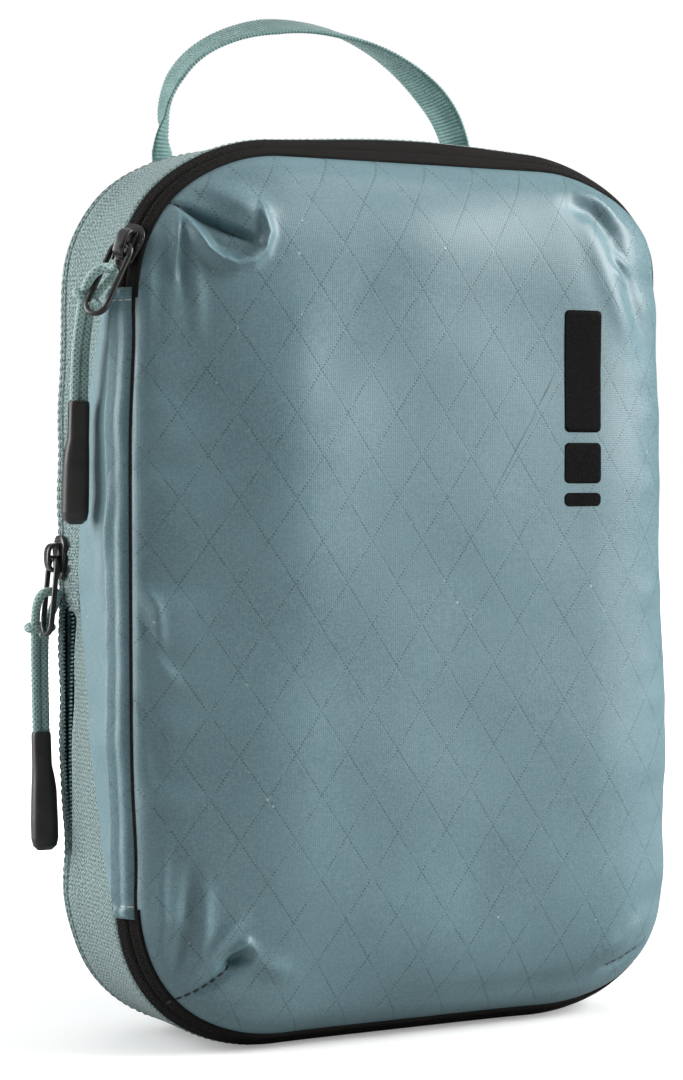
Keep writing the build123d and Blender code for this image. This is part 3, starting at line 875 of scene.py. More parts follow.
def tube(name, path, radius, material, closed=False, sides=18, braid=False):
    """Round tube along a path of points; braid presses the pattern of a braided cord into it."""
    angles = turns(sides)
    travel = travelled(path)
    size = np.full((len(path), sides), radius)
    if braid:
        turn = travel[:, None] * 2 * math.pi / BRAID_PITCH
        over = np.maximum(np.cos(BRAID_STRANDS * angles + turn), np.cos(BRAID_STRANDS * angles - turn))
        size = size * (1 + BRAID_DEPTH * (over - BRAID_LEVEL))
    points = rings_round(path, size, angles, closed)
    lengths = (np.append(angles, 2 * math.pi), np.append(travel, 2 * travel[-1] - travel[-2]))
    return grid_object(name, points, material, closed, True, caps=not closed, lengths=lengths)


def merged(name, parts, material):
    """Joins finished parts in one object."""
    work = bmesh.new()
    for part in parts:
        work.from_mesh(part.data)
        bpy.data.objects.remove(part)
    mesh = bpy.data.meshes.new(name)
    work.to_mesh(mesh)
    work.free()
    return finish_mesh(name, mesh, material)


def spline_points(points):
    """Points along the smooth NURBS line of a route."""
    data = bpy.data.curves.new("route", "CURVE")
    data.dimensions = "3D"
    spline = data.splines.new("NURBS")
    spline.points.add(len(points) - 1)
    for target, place in zip(spline.points, points):
        target.co = (*place, 1.0)
    spline.order_u = 3
    spline.use_endpoint_u = True
    spline.resolution_u = 24
    holder = linked("route", data)
    mesh = bpy.data.meshes.new_from_object(holder.evaluated_get(bpy.context.evaluated_depsgraph_get()))
    found = np.array([v.co for v in mesh.vertices])
    bpy.data.objects.remove(holder)
    bpy.data.meshes.remove(mesh)
    return found


def evenly(path, step):
    """Points at an even spacing along a path."""
    travel = travelled(path)
    wanted = np.linspace(0, travel[-1], int(travel[-1] / step) + 2)
    return np.stack([np.interp(wanted, travel, path[:, k]) for k in range(3)], axis=1)


def capsule(start, end, radius):
    """Rings of a short rounded thread between two points."""
    start, end = np.array(start), np.array(end)
    shares = np.array([0.0, 0.06, 0.2, 0.5, 0.8, 0.94, 1.0])
    sizes = radius * np.array([0.3, 0.7, 1.0, 1.0, 1.0, 0.7, 0.3])
    return rings_round(start + (end - start) * shares[:, None], sizes[:, None], turns(8))


def many(name, all_rings, material):
    """One mesh of many small closed tubes, each a grid of rings."""
    verts, faces = [], []
    for rings in all_rings:
        rows, columns = rings.shape[:2]
        index = len(verts) + np.arange(rows * columns).reshape(rows, columns)
        ahead = np.roll(index, -1, axis=1)
        sides = np.stack([index[:-1], ahead[:-1], ahead[1:], index[1:]], axis=2)
        faces += [*sides.reshape(-1, 4).tolist(), index[0, ::-1].tolist(), index[-1].tolist()]
        verts += rings.reshape(-1, 3).tolist()
    mesh = bpy.data.meshes.new(name)
    mesh.from_pydata(verts, [], faces)
    return finish_mesh(name, mesh, material)


def stitches(name, path, length, gap, radius, material):
    """Row of stitches along a path of points on the cloth."""
    points = evenly(path, 0.25 * MM)
    spacing = np.linalg.norm(points[1] - points[0])
    long, period = int(length / spacing), int((length + gap) / spacing)
    rows = [capsule(points[k], points[k + long], radius) for k in range(0, len(points) - long, period)]
    return many(name, rows, material)


# ---- seams, stitches and zipper chains ----


def left_x(z, inset):
    """Where the left side's surface lies at height z, inset from the largest outline."""
    rise = np.maximum(np.maximum(CORNER_R - z, z - (HEIGHT - CORNER_R)), 0)
    return CORNER_R - HALF_WIDTH - np.sqrt((CORNER_R - inset) ** 2 - rise**2) + slim(-HALF_WIDTH, z)


def wall_ring(y):
    """Ring on the side wall's surface at depth y."""
    x, z = OUTLINE[:, 0], OUTLINE[:, 1]
    y = y + back_shift(x, y, z) * (y > COMPRESSION_LINE_Y)
    return ring(y, side_inset(y) - wall_lift(x, y, z))


# The piping runs round the front seam, except along the hinge strip
PIPING_RADIUS, PIPING_DRAWN_IN = 0.75 * MM, 0.9 * MM
STRIP_LOW_Z, STRIP_HIGH_Z = 44 * MM, 214 * MM
drawn_in = PIPING_DRAWN_IN * np.clip(NORMALS[:, 0], 0, 1) ** 2
seam = ring(SEAM_Y - 0.2 * MM, FRONT_INSET - 0.1 * MM + drawn_in)
beside_strip = (seam[:, 0] < 0) & (seam[:, 2] > STRIP_LOW_Z) & (seam[:, 2] < STRIP_HIGH_Z)
start = int(np.argmax(~beside_strip & (np.arange(AROUND) > 0) & (np.arange(AROUND) < AROUND // 2)))
piped = np.roll(seam, -start, 0)[~np.roll(beside_strip, -start)]
piping = tube("front_seam_piping", piped, PIPING_RADIUS, BLACK_TAPE, sides=10)
add_piece(piping, LID, "black_tape")

# Rows of stitches round the wall: name, body, depth, and length, gap and radius in mm
WALL_STITCHES = [
    ("back_wall_stitches_0", BACK, 16.6 * MM, 1.5, 1.0, 0.24),
    ("back_wall_stitches_1", BACK, 23.4 * MM, 1.5, 1.0, 0.24),
    ("front_tape_stitches", FRONT, KNIT_FRONT_Y + 1.4 * MM, 1.3, 1.1, 0.16),
]
for name, body, y, length, gap, radius in WALL_STITCHES:
    row = stitches(name, wall_ring(y), length * MM, gap * MM, radius * MM, TEAL_THREAD)
    add_piece(row, body, "knit")

TOOTH_PITCH, TOOTH_RADIUS = 1.15 * MM, 0.36 * MM
TOOTH_OUT, TOOTH_LENGTH, TOOTH_DROP = 0.5 * MM, 1.7 * MM, 0.25 * MM
TOOTH_INSET = 0.6 * MM


def chain(name, side):
    """Row of coil teeth on one side of the compression zipper's line, where it gapes."""
    line = ring(COMPRESSION_LINE_Y, side_inset(COMPRESSION_LINE_Y) + TOOTH_INSET)
    points = evenly(line, TOOTH_PITCH / 2)
    rows = []
    for x, y, z in points[0 if side > 0 else 1 :: 2]:
        if GAPE_LOW_Z <= z <= GAPE_HIGH_Z and x < 0:
            y += side * float(gape(x, z, side))
            root, tip = (x, y + side * TOOTH_OUT, z), (x, y - side * TOOTH_LENGTH, z - TOOTH_DROP)
            rows.append(capsule(root, tip, TOOTH_RADIUS))
    return many(name, rows, GREEN_NYLON)


for side, body, label in ((-1, FRONT, "front"), (1, BACK, "back")):
    add_piece(chain(f"compression_teeth_{label}", side), body, "green_coil")

# Coils and bindings hidden inside the wall: node, inset, depth, body, slot, material and shift.
# Each has its CAD node's place, along the soft outline. The compression coil keeps to the CAD's line at
# the left, where the slider runs along it.
COIL_INSET, COIL_DEPTH, BINDING_DEPTH = 1.2 * MM, 1.3 * MM, 1.2 * MM
steady = back_swell(OUTLINE[:, 0], COMPRESSION_LINE_Y, OUTLINE[:, 1]) - slim(*OUTLINE.T)
steady_coil = COIL_INSET + steady * (OUTLINE[:, 0] < 0)
INNER_RINGS = [
    ("lid_coil", COIL_INSET, COIL_DEPTH, LID, "coil", BLACK_NYLON, None),
    ("main_coil_body", COIL_INSET, COIL_DEPTH, FRONT, "coil", BLACK_NYLON, None),
    ("compression_coil_front", steady_coil, COIL_DEPTH, FRONT, "green_coil", GREEN_NYLON, front_shift),
    ("compression_coil_back", steady_coil, COIL_DEPTH, BACK, "green_coil", GREEN_NYLON, back_shift),
    ("lid_seam_binding", 2.6 * MM, BINDING_DEPTH, LID, "binding", TEAL_THREAD, None),
    ("back_seam_binding", 2.2 * MM, BINDING_DEPTH, BACK, "binding", TEAL_THREAD, None),
]
for node, inset, depth, body, slot, material, shift in INNER_RINGS:
    low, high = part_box(node)
    made = band(f"{node}_ring", [(low.y, inset), (high.y, inset)], inset + depth, material, None, shift)
    add_piece(made, body, slot, node)

# ---- hinge strip ----

STRIP_EDGE = [
    (40.5, -19.6), (45, -18.6), (53, -14), (63, -10), (80, -7), (101, -3.5), (120, 0.5), (132, 3.2),
    (145, 2.4), (160, 0), (187, -4.5), (204, -8.5), (212, -15), (217, -17.6),
]
STRIP_FRONT_Y = SEAM_Y + 1.1 * MM
STRIP_ROWS, STRIP_COLUMNS = 420, 56
STRIP_THICK, STRIP_RIM = 0.95, 0.9 * MM
STRIP_WAVES = [(0.3, 44, 88, 0.6), (0.2, 29, 80, 2.0), (0.13, 15, 97, 1.0)]
# Ridges across the strip: depth, half width and height, in mm
STRIP_RIDGES = [(-22.6, 1.1, 0.4), (-20.8, 0.6, -0.14)]
# Pinches in the strip: route of (depth, height), width and height, in mm
STRIP_PINCHES = [([(-20.5, 165), (-18.6, 150), (-17.2, 141)], 1.6, 0.6), ([(-16, 150), (-13, 128)], 3, -0.4)]
HEM, HEM_RISE = 3.4 * MM, 0.55
SAG, SAG_AT, SAG_REACH = 0.35, 1.2 * MM, 2.0 * MM


def strip_edge(z):
    """Depth of the strip's back edge at height z, smoothed."""
    heights, depths = np.array(STRIP_EDGE).T * MM
    reach = np.linspace(-6, 6, 13) * MM
    inside = np.clip(z[:, None] + reach, heights[0], heights[-1])
    return np.interp(inside, heights, depths).mean(axis=1)


def strip_height(y, z, edge):
    """How far the strip stands off the wall."""
    from_end = np.minimum(z - STRIP_EDGE[0][0] * MM, STRIP_EDGE[-1][0] * MM - z)
    hem = HEM_RISE * (1 - smooth_step(from_end, HEM - 0.8 * MM, HEM))
    sag = SAG * np.exp(-(((from_end - HEM - SAG_AT) / SAG_REACH) ** 2))
    body = STRIP_THICK + hem - sag + 0.6 * ripple(y, z, STRIP_WAVES)
    for middle, reach, height in STRIP_RIDGES:
        body = body + height * np.exp(-(((y / MM - middle) / reach) ** 2))
    for pinch in STRIP_PINCHES:
        body = body + fold(y, z, *pinch)
    rim = np.minimum(np.minimum(edge - y, y - STRIP_FRONT_Y), from_end) / STRIP_RIM
    return (0.1 + body * round_over(rim)) * MM


def side_patch(name, y, z, height, sunk, material):
    """Closed cloth on the left side through grids of depths and heights, its inner face sunk in the wall."""
    outer = np.stack([left_x(z, side_inset(y) - height), y, z], axis=2)
    inner = np.stack([left_x(z, side_inset(y) + sunk), y, z], axis=2)
    points = np.concatenate([outer, inner[:, ::-1]], axis=1)
    return grid_object(name, points, material, wrap_columns=True, caps=True)


def hinge_strip():
    """The hinge strip's cloth, with columns closer together at its edges."""
    z = np.linspace(STRIP_EDGE[0][0], STRIP_EDGE[-1][0], STRIP_ROWS) * MM
    edge = strip_edge(z)[:, None]
    share = (1 - np.cos(np.linspace(0, math.pi, STRIP_COLUMNS))) / 2
    y = STRIP_FRONT_Y + (edge - STRIP_FRONT_Y) * share[None, :]
    zz = np.broadcast_to(z[:, None], y.shape)
    return side_patch("hinge_strip_cloth", y, zz, strip_height(y, zz, edge), 0.05 * MM, STRIP_CLOTH)


def strip_point(y, z):
    """Point on the strip's outer surface."""
    edge = strip_edge(np.array([z]))[0]
    x = left_x(np.array(z), side_inset(y) - strip_height(np.array(y), np.array(z), edge) - 0.1 * MM)
    return (float(x), y, z)


add_piece(hinge_strip(), FRONT, "ripstop", "hinge_strip")
for label, z, last_y in (("top", 213.4 * MM, -18.0 * MM), ("bottom", 44.2 * MM, -19.6 * MM)):
    path = np.array([strip_point(y, z) for y in np.linspace(-24.0 * MM, last_y, 24)])
    row = stitches(f"{label}_hem_stitches", path, 2.1 * MM, 0.5 * MM, 0.2 * MM, WHITE_THREAD)
    add_piece(row, FRONT, "ripstop")

# ---- front panel's stitches and mark ----


def panel_point(x, z, proud):
    """Point just in front of the front panel's cloth."""
    return (x, float(front_y(np.array([x]), np.array([z]))[0]) - proud, z)


def panel_path(route, count=60):
    """Points on the front panel along a route of (x, z) in mm."""
    shares = np.linspace(0, len(route) - 1, count)
    xs, zs = (np.interp(shares, np.arange(len(route)), part) for part in np.array(route).T * MM)
    return np.array([panel_point(x, z, 0.1 * MM) for x, z in zip(xs, zs)])


DART_STITCHES = {
    "low_left_dart": [(-78.8, 16.4), (-71.5, 20.0), (-68.0, 22.3), (-61.2, 27.6)],
    "top_left_dart": [(-78.6, 241.0), (-74.2, 238.8)],
    "low_right_dart": [(62.0, 16.2), (68.0, 17.8), (75.5, 21.4)],
}
for name, route in DART_STITCHES.items():
    row = stitches(f"{name}_stitches", panel_path(route), 2.2 * MM, 0.6 * MM, 0.32 * MM, DARK_THREAD)
    add_piece(row, LID, "ripstop")

MARK_BLOCKS = [(48.6, 195.5, 12.6, 36.0), (48.6, 168.4, 12.6, 12.0), (48.6, 157.6, 12.6, 4.0)]
MARK_CORNER = 1.6 * MM


def mark_block(name, x, z, width, height):
    """Plain printed block that follows the cloth."""
    half = np.array([width, height]) * MM / 2 - MARK_CORNER
    rim = rounded_rectangle(half, MARK_CORNER, 96)
    flat = np.array([x, z]) * MM + rim[None] * np.linspace(0.02, 1, 14)[:, None, None]
    depth = front_y(flat[..., 0], flat[..., 1])
    top, under = (
        np.stack([flat[..., 0], depth + step * MM, flat[..., 1]], axis=2) for step in (-0.12, 0.1)
    )
    return grid_object(name, shell(top, under), PRINT, wrap_columns=True, caps=True)


for index, block in enumerate(MARK_BLOCKS):
    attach(mark_block(f"printed_mark_{index}", *block), LID)

# ---- sliders and bails ----

PARK_ANGLE = math.radians(22)
# Heights of the upper plate's underside over the zipper's line
PLATE_GAPS = {"main": 0.9 * MM, "compression": 1.4 * MM}
TUNNEL_RISE = 2.5 * MM


def frame_matrix(origin, along, out):
    """A slider's own frame: x across the zipper, y along it, z out of the cloth."""
    across = Vector(along).cross(Vector(out))
    turned = Matrix([across, Vector(along), Vector(out)]).transposed().to_4x4()
    return Matrix.Translation(origin) @ turned


def main_slider_frame():
    """The main slider's place, parked round the upper left corner and tilted with the wall there."""
    radial = Vector((-math.cos(PARK_ANGLE), 0, math.sin(PARK_ANGLE)))
    along = Vector((math.sin(PARK_ANGLE), 0, math.cos(PARK_ANGLE)))
    tilt = math.atan2(FRONT_INSET - SIDE_PROFILE[1, 1], KNIT_FRONT_Y - SEAM_Y)
    out = radial * math.cos(tilt) - Vector((0, 1, 0)) * math.sin(tilt)
    centre = Vector((CORNER_R - HALF_WIDTH, MAIN_LINE_Y, HEIGHT - CORNER_R))
    return frame_matrix(centre + radial * (CORNER_R - float(side_inset(MAIN_LINE_Y))), along, out)


def compression_slider_frame():
    """The compression slider's place on the left side."""
    low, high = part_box("compression_slider")
    centre = (-HALF_WIDTH, COMPRESSION_LINE_Y, (low.z + high.z) / 2)
    return frame_matrix(centre, (0, 0, 1), (-1, 0, 0))


# A slider's parts in its own frame, in mm. Outline of a plate: half length, half widths and roundness
PLATE_HALF_LENGTH, TAIL_HALF, NOSE_GROWTH, TIP_LOSS, PLATE_POWER = 6.5, 3.3, 1.15, 0.5, 0.62
# Edge of a plate: share of its thickness, height above that and growth of its outline
PLATE_EDGE = [
    (0, 0, -1.4), (0, 0, -0.35), (0.12, 0, -0.08), (0.35, 0, 0), (0.65, 0, 0), (0.9, 0, -0.12), (1, 0, -0.4),
    (1, 0.12, -1.6),
]
PLATE_THICK, UNDER_PLATE, UNDER_SHRINK = 1.0, (-3.8, -2.8), 1.5
POST_Y, POST_HALF, POST_LAP = 3.5, (0.4, 1.5), 0.1
# Raised middle of the upper plate: height above the plate's underside and half sizes
BEAD = [(1.0, 2.5, 4.9), (1.35, 2.3, 4.7)]
CROWN_BASE, CROWN_HALF_LENGTH, CROWN_HEIGHT, CROWN_POWER = 0.9, 3.85, 3.5, 3.2
CROWN_HALF_WIDTH, CROWN_WAIST, CROWN_HALF_THICK = 2.0, 0.25, 0.62
# The ribs on the upper plate: their two ends and radius
RIB_ENDS, RIB_RISE, RIB_RADIUS = [(3.25, -4.8), (4.15, 2.8)], 0.95, 0.34
ACROSS, LENGTHWISE = (1, 0, 0), (0, 1, 0)


def plate_outline(grow):
    """Shield outline of a slider's plate: wide nose at +y, narrow tail at -y."""
    angles = turns(72)
    y = PLATE_HALF_LENGTH * squarer(np.sin(angles), PLATE_POWER)
    nose, tip = smooth_step(y, -5.0, 2.0), smooth_step(y, 3.5, PLATE_HALF_LENGTH)
    half = TAIL_HALF + NOSE_GROWTH * nose - TIP_LOSS * tip
    x = half * squarer(np.cos(angles), PLATE_POWER)
    size = np.hypot(x, y)
    return np.stack([x, y], 1) * ((size + grow) / size)[:, None]


def plate(name, z_low, z_high, shrink):
    """Slider plate with rounded edges."""
    rings = []
    for share, above, grow in PLATE_EDGE:
        flat = plate_outline(grow - shrink)
        rings.append(np.column_stack([flat, np.full(len(flat), z_low + share * (z_high - z_low) + above)]))
    return grid_object(name, np.array(rings) * MM, ENAMEL, wrap_columns=True, caps=True)


def slab(name, sections):
    """Loft of rounded rectangles (centre, half u, half v, u direction, v direction)."""
    angles = turns(40, 0.5)
    u, v = squarer(np.cos(angles), 0.5), squarer(np.sin(angles), 0.5)
    rings = []
    for centre, half_u, half_v, du, dv in sections:
        rings.append(np.array(centre) + np.outer(u * half_u, du) + np.outer(v * half_v, dv))
    return grid_object(name, np.array(rings) * MM, ENAMEL, wrap_columns=True, caps=True)


def crown(gap):
    """Arched bridge over the plate, with room for the bail's top bar."""
    sections = []
    for angle in np.linspace(0, math.pi, 33):
        bend = np.array([0, math.cos(angle), math.sin(angle)])
        arch = bend / np.sum(np.abs(bend) ** CROWN_POWER) ** (1 / CROWN_POWER)
        centre = (0, CROWN_HALF_LENGTH * arch[1], gap + CROWN_BASE + CROWN_HEIGHT * arch[2])
        half_width = CROWN_HALF_WIDTH - CROWN_WAIST * math.sin(angle)
        sections.append((centre, half_width, CROWN_HALF_THICK, ACROSS, tuple(unit(bend))))
    return slab("crown", sections)


def slider(name, gap, place):
    """Slider body: two plates, the post between them, the raised middle, the crown and two ribs."""
    gap = gap / MM
    post_ends = (UNDER_PLATE[1] - POST_LAP, gap + POST_LAP)
    post = [((0, POST_Y, z), *POST_HALF, ACROSS, LENGTHWISE) for z in post_ends]
    bead = [((0, 0, gap + rise), half_u, half_v, ACROSS, LENGTHWISE) for rise, half_u, half_v in BEAD]
    parts = [
        plate("top", gap, gap + PLATE_THICK, 0.0),
        plate("under", *UNDER_PLATE, UNDER_SHRINK),
        slab("post", post),
        slab("bead", bead),
        crown(gap),
    ]
    for side in (-1, 1):
        line = np.linspace(*[(side * x, y, gap + RIB_RISE) for x, y in RIB_ENDS], 12)
        parts.append(tube("rib", line * MM, RIB_RADIUS * MM, ENAMEL, sides=10))
    made = merged(name, parts, ENAMEL)
    made.data.transform(place)
    return made


BAIL_WIDTH, BAIL_LENGTH, BAIL_LEAN = 6.6 * MM, 22 * MM, math.radians(6)
BAIL_WIRE = 0.8 * MM


def bail(name, gap, place):
    """Wire loop hanging from the crown."""
    corner = BAIL_WIDTH / 2 - 0.35 * MM
    half = np.array([BAIL_WIDTH, BAIL_LENGTH]) / 2 - corner
    flat = rounded_rectangle(half, corner, 160)
    path = np.column_stack([flat[:, 0], flat[:, 1] - BAIL_LENGTH / 2, np.zeros(len(flat))])
    even = evenly(np.vstack([path, path[:1]]), 0.4 * MM)[:-1]
    made = tube(name, even, BAIL_WIRE, ENAMEL, closed=True, sides=16)
    hung = Matrix.Translation((0, 0, gap + TUNNEL_RISE)) @ Matrix.Rotation(-BAIL_LEAN, 4, "X")
    made.data.transform(place @ hung)
    return made


SLIDER_FRAMES = {"main": main_slider_frame(), "compression": compression_slider_frame()}
for name, place in SLIDER_FRAMES.items():
    gap = PLATE_GAPS[name]
    add_piece(slider(f"{name}_slider_body", gap, place), f"{name}_slider", "slider", f"{name}_slider")
    add_piece(bail(f"{name}_bail_wire", gap, place), f"{name}_pull", "slider", f"{name}_bail")

# ---- pull cords, hitches and grips ----

CORD_D = 2.4 * MM
CORD_PUFF = 1.07
CORD_STEP = 0.2 * MM

MAIN_CORD_ROUTE = [
    (-0.1001, -0.0110, 0.1856), (-0.1001, -0.0116, 0.1945), (-0.1000, -0.0129, 0.2026),
    (-0.0999, -0.0152, 0.2088), (-0.1002, -0.0180, 0.2144), (-0.1000, -0.0227, 0.2198),
    (-0.0960, -0.0253, 0.2225), (-0.0918, -0.0225, 0.2204), (-0.0950, -0.0197, 0.2176),
    (-0.0972, -0.0168, 0.2132), (-0.0973, -0.0146, 0.2082), (-0.0974, -0.0127, 0.2022),
    (-0.0975, -0.0116, 0.1945), (-0.0975, -0.0110, 0.1856),
]
COMPRESSION_CORD_ROUTE = [
    (-0.0999, 0.0212, 0.0900), (-0.0999, 0.0217, 0.1000), (-0.1000, 0.0219, 0.1105),
    (-0.1001, 0.0214, 0.1205), (-0.1011, 0.0182, 0.1266), (-0.1007, 0.0146, 0.1312),
    (-0.0952, 0.0146, 0.1312), (-0.0955, 0.0182, 0.1266), (-0.0973, 0.0214, 0.1205),
    (-0.0973, 0.0219, 0.1105), (-0.0973, 0.0217, 0.1000), (-0.0973, 0.0212, 0.0900),
]


# The hitch: its reach in cord diameters, its slope along the strands and where it starts, and its squeeze
HITCH_REACH, HITCH_SLOPE, HITCH_PHASE, HITCH_SQUEEZE = 0.9, 0.35 * MM, 0.6, 0.95


def hitch(name, strand_a, strand_b, axis):
    """One turn of the cord round its own two strands."""
    a, b = np.array(strand_a), np.array(strand_b)
    middle, across = (a + b) / 2, unit(b - a)
    axis = unit(np.array(axis))
    up = unit(np.cross(axis, across))
    angles = turns(72)
    span, reach = np.linalg.norm(b - a) / 2, HITCH_REACH * CORD_D
    flat = np.sign(np.round(np.cos(angles), 9)) * span + reach * np.cos(angles)
    path = middle + np.outer(flat, across) + np.outer(reach * np.sin(angles), up)
    path = path + np.outer(HITCH_SLOPE * np.sin(angles + HITCH_PHASE), axis)
    even = evenly(np.vstack([path, path[:1]]), CORD_STEP)[:-1]
    return tube(name, even, CORD_D / 2 * HITCH_SQUEEZE, CORD_YARN, closed=True, sides=24, braid=True)


# Grip stations: share of its length, reach to the low-x side, reach to the high-x side, half depth, in mm
GRIP_STATIONS = {
    "main": [
        (0, 2.7, 2.7, 2.1), (0.02, 2.95, 2.95, 2.3), (0.3, 3.0, 3.0, 2.3), (0.4, 3.7, 3.05, 2.6),
        (0.5, 4.1, 3.1, 2.8), (0.75, 4.3, 3.2, 2.95), (0.9, 4.3, 3.2, 2.9), (0.965, 3.8, 2.8, 2.4),
        (1.0, 2.4, 1.6, 1.2),
    ],
    "compression": [
        (0, 2.5, 2.5, 2.0), (0.02, 2.8, 2.8, 2.2), (0.28, 2.8, 2.9, 2.3), (0.38, 2.9, 3.6, 2.6),
        (0.48, 3.1, 4.1, 2.8), (0.75, 3.5, 4.3, 2.95), (0.9, 3.5, 4.3, 2.9), (0.965, 3.0, 3.8, 2.4),
        (1.0, 1.8, 2.4, 1.2),
    ],
}
GRIP_LENGTH = 34.5 * MM
GRIP_POWER = 0.72


def grip(name, mouth, axis, stations):
    """Moulded grip hanging from its mouth, with a step on one side."""
    down = unit(np.array(axis))
    table = np.array(stations).T
    shares = np.unique(np.concatenate([np.linspace(0, 1, 60), np.linspace(0.9, 1, 16), [0.004, 0.012]]))
    angles = turns(40)
    wide, thick = squarer(np.cos(angles), GRIP_POWER), squarer(np.sin(angles), GRIP_POWER)
    sideways = np.array([1.0, 0, 0])
    sideways = unit(sideways - down * np.dot(sideways, down))
    deep = np.cross(down, sideways)
    rings = []
    for share in shares:
        low, high, half = (np.interp(share, table[0], column) * MM for column in table[1:])
        middle = np.array(mouth) + down * GRIP_LENGTH * share
        across = np.outer(np.where(wide < 0, low, high) * wide, sideways)
        rings.append(middle + across + np.outer(half * thick, deep))
    lip = rings[0].mean(axis=0)
    inside = [lip + (rings[0] - lip) * 0.8 + down * depth * MM for depth in (2.0, 0.15)]
    return grid_object(name, np.array(inside + rings), RUBBER, wrap_columns=True, caps=True)


def pull(name, route, hitch_at):
    """A cord doubled through the bail, its hitch and its grip, all on the pull's body."""
    body = f"{name}_pull"
    line = spline_points(route)
    even = evenly(line, CORD_STEP)
    cord = tube(f"{name}_pull_cord", even, CORD_D / 2 * CORD_PUFF, CORD_YARN, sides=30, braid=True)
    add_piece(cord, body, "cord", f"{name}_cord")
    first, second = hitch_at
    knots = np.array(route)
    turn = hitch(f"{name}_hitch", knots[first], knots[second], knots[first] - knots[first - 1])
    add_piece(turn, body, "cord", f"{name}_cord_collar")
    mouth = (knots[0] + knots[-1]) / 2
    moulded = grip(f"{name}_rubber_grip", mouth, knots[0] - knots[1], GRIP_STATIONS[name])
    add_piece(moulded, body, "grip", f"{name}_grip")


pull("main", MAIN_CORD_ROUTE, (4, 9))
pull("compression", COMPRESSION_CORD_ROUTE, (3, 8))

# ---- carry loop ----

LOOP_ROUTE = [
    (-54.2, 32.2, 251.7), (-54.2, 32.2, 258.0), (-54.6, 32.0, 268.0), (-53.6, 31.8, 278.5),
    (-46.5, 31.6, 290.5), (-32.0, 31.6, 299.2), (-12.0, 31.6, 303.2), (9.0, 31.8, 300.8),
    (26.5, 32.0, 293.2), (40.5, 32.2, 281.2), (46.4, 32.4, 269.0), (46.6, 32.4, 258.5),
    (46.2, 32.2, 251.7),
]
# Turn of the webbing about its own line, in degrees, by the share of its length
LOOP_TURN = [
    (0, -68), (0.06, -64), (0.12, -12), (0.2, 4), (0.3, 14), (0.42, 24), (0.55, 18), (0.66, 3), (0.78, -14),
    (0.88, -22), (0.93, -56), (1, -66),
]
# Depth of its fold, in mm
LOOP_FOLD = [(0, 2.3), (0.1, 1.9), (0.22, 0.7), (0.32, 0.15), (0.62, 0.1), (0.74, 0.5), (0.88, 1.3), (1, 1.8)]
# Share of the width left where the webbing is gathered to be sewn
LOOP_GATHER = [
    (0, 0.75), (0.07, 0.75), (0.12, 0.85), (0.2, 1), (0.8, 1), (0.88, 0.9), (0.93, 0.66), (1, 0.62),
]
LOOP_WIDTH, LOOP_THICK = 14 * MM, 1.35 * MM
FLAT_POWER, THICK_POWER = 0.35, 0.55
RIB_PITCH, RIB_DEPTH, RIB_EDGE = 1.15 * MM, 0.22, 0.012
WALE_COUNT, WALE_DEPTH = 5, 0.05
LOOP_STEP = RIB_PITCH / 5


def carry_loop():
    """Ribbed webbing that turns and folds as it nears its sewn feet."""
    path = evenly(spline_points([tuple(c * MM for c in p) for p in LOOP_ROUTE]), LOOP_STEP)
    share = np.linspace(0, 1, len(path))
    turn, depth, gather = (
        np.interp(share, *np.array(table).T)[:, None] for table in (LOOP_TURN, LOOP_FOLD, LOOP_GATHER)
    )
    ahead = unit(np.gradient(path, axis=0))
    straight = unit(np.array([0, 1.0, 0]) - ahead * ahead[:, 1:2])
    over = np.cross(ahead, straight)
    turn = np.radians(turn)
    width = straight * np.cos(turn) + over * np.sin(turn)
    normal = np.cross(ahead, width)
    wave = np.cos(2 * math.pi * share * len(path) * LOOP_STEP / RIB_PITCH)[:, None]
    angles = turns(44)
    u = squarer(np.cos(angles), FLAT_POWER)[None, :]
    v = squarer(np.sin(angles), THICK_POWER)[None, :]
    relief = 1 + (RIB_DEPTH * wave + WALE_DEPTH * np.cos(u * math.pi * WALE_COUNT)) * np.abs(v)
    sideways = u * (1 - 0.09 * depth) * gather * (1 + RIB_EDGE * wave) * LOOP_WIDTH / 2
    outwards = v * relief * LOOP_THICK / 2 - (0.5 - np.abs(u)) * depth * gather * MM
    points = path[:, None] + sideways[..., None] * width[:, None] + outwards[..., None] * normal[:, None]
    return grid_object("carry_loop_webbing", points, WEBBING_YARN, wrap_columns=True, caps=True)


add_piece(carry_loop(), "handle", "webbing", "handle_webbing")

# ---- bunched tape tail and the folded gusset ----


def tape_tail():
    """Gathered end of the compression zipper's tape, in front of the parked slider."""
    z = np.linspace(125.5, 145.5, 90) * MM
    share = np.linspace(0, 1, 40)
    ruffle = 0.6 * np.sin(z / MM * 2 * math.pi / 3.3 + 0.8 * np.sin(z / MM * 0.55))
    ruffle = ruffle + 0.4 * np.sin(z / MM * 1.17)
    front = 3.4 * MM
    back = (9.4 + 0.55 * ruffle + 0.8 * np.sin(z / MM * 0.5)) * MM
    y = front + (back - front)[:, None] * share[None, :]
    zz = np.broadcast_to(z[:, None], y.shape)
    from_end = np.minimum(zz - z[0], z[-1] - zz) / (2.2 * MM)
    rim = np.minimum(from_end, np.minimum((1 - share[None, :]) * 6, share[None, :] * 4))
    height = 0.5 + share[None, :] * (1.1 + 0.5 * ruffle[:, None])
    return side_patch("bunched_tape_tail", y, zz, height * round_over(rim) * MM, 0.3 * MM, KNIT)


add_piece(tape_tail(), FRONT, "knit", "compression_tape_end")

GUSSET_INSET, GUSSET_CLOTH = 5.6 * MM, 0.7 * MM
GUSSET_FRONT_Y, GUSSET_BACK_Y = 3.5 * MM, 20.5 * MM


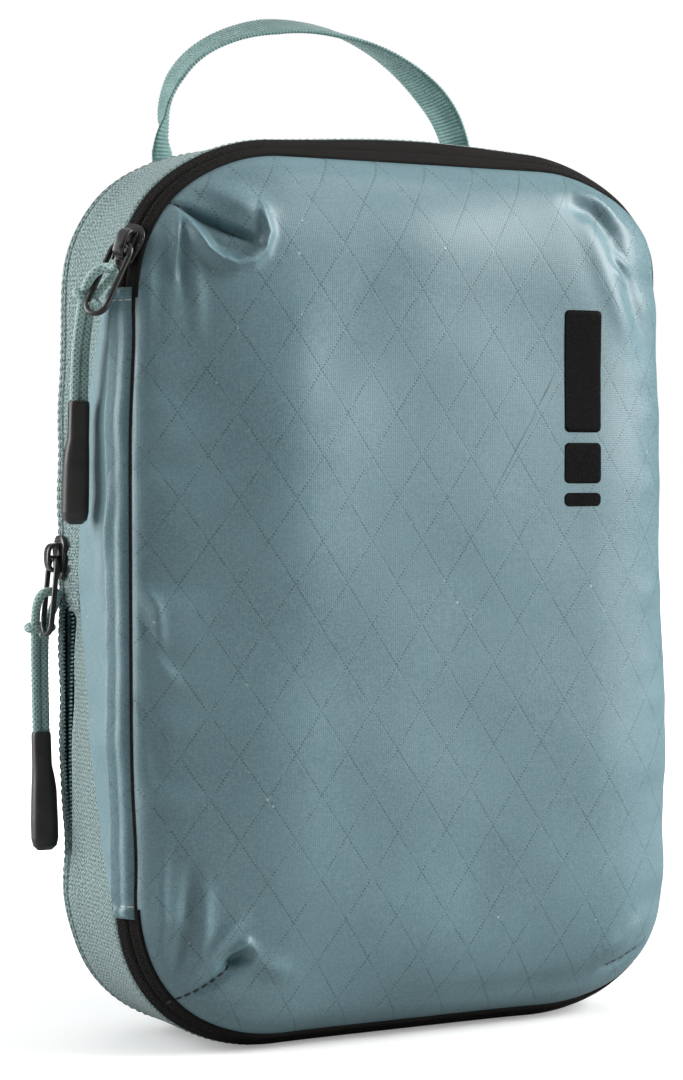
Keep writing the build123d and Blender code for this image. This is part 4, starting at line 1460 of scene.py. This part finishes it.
def gusset():
    """Cloth between the two halves that unfolds on the real cube when the compression zipper opens; here it
    is built once, folded, and put on no body.
    """
    depths = np.linspace(GUSSET_FRONT_Y, GUSSET_BACK_Y, 40)
    insets = GUSSET_INSET + 0.5 * MM * np.sin(np.linspace(0, 6 * math.pi, 40))
    outer, inner = (
        np.array([ring(y, inset + sunk) for y, inset in zip(depths, insets)]) for sunk in (0, GUSSET_CLOTH)
    )
    points = shell(outer, inner)
    return grid_object("unfolding_gusset", points, PANEL_CLOTH, wrap_rows=True, wrap_columns=True)


folded = gusset()
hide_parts("expansion_gusset")
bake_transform(folded)


# ---- camera, light and floor ----


MIDDLE = (0, 0, 0.13)


def aimed(name, data, place, aim):
    """A camera or light at a place, turned to its aim."""
    made = linked(name, data)
    made.location = place
    made.rotation_euler = (Vector(aim) - Vector(place)).to_track_quat("-Z", "Y").to_euler()
    return made


def make_camera():
    """The view from the front left, a little above the middle."""
    data = bpy.data.cameras.new("camera")
    data.lens = 89.28
    data.shift_x, data.shift_y = -0.0666, 0.0499
    data.clip_start, data.clip_end = 0.01, 50.0
    bpy.context.scene.camera = aimed("camera", data, (-0.3741, -0.7157, 0.1661), (0, -0.025, 0.13))


def area_light(name, place, size, power):
    """Rectangular light that shines on the middle of the cube and isn't seen itself."""
    data = bpy.data.lights.new(name, "AREA")
    data.shape = "RECTANGLE"
    data.size, data.size_y = size
    data.energy = power
    aimed(name, data, place, MIDDLE).visible_camera = False


def background(tree, strength):
    white = {"Color": (1.0, 1.0, 1.0, 1.0), "Strength": strength}
    return add_node(tree, "ShaderNodeBackground", white).outputs[0]


def studio():
    """Soft light, a white surround and a plain pale floor."""
    world = bpy.data.worlds.new("studio")
    world.use_nodes = True
    bpy.context.scene.world = world
    tree = world.node_tree
    lit = for_camera(tree, background(tree, 1.0), background(tree, 0.04))
    tree.links.new(lit, tree.nodes["World Output"].inputs["Surface"])
    data = bpy.data.lights.new("ceiling", "SUN")
    data.energy, data.angle = 1.25, math.radians(100)
    linked("ceiling", data)
    area_light("key", (1.66, -1.04, 1.05), (1.3, 1.5), 70)
    area_light("left", (-1.25, 0.75, 0.35), (1.1, 1.5), 36)
    area_light("behind", (0.6, 1.5, 0.8), (0.9, 0.9), 5)
    mesh = bpy.data.meshes.new("floor")
    mesh.from_pydata([(-9, -9, 0), (9, -9, 0), (9, 9, 0), (-9, 9, 0)], [], [(0, 1, 2, 3)])
    floor = finish_mesh("floor", mesh, floor_finish("floor_finish"), smooth=False)
    bpy.context.scene.view_settings.view_transform = "Standard"


make_camera()
studio()
NODE_FINISH = {
    "compression_stop": GREEN_NYLON,
    "handle_tail_left": WEBBING_YARN,
    "handle_tail_right": WEBBING_YARN,
}
for name, material in NODE_FINISH.items():
    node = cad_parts[name]
    node.data.materials.clear()
    node.data.materials.append(material)
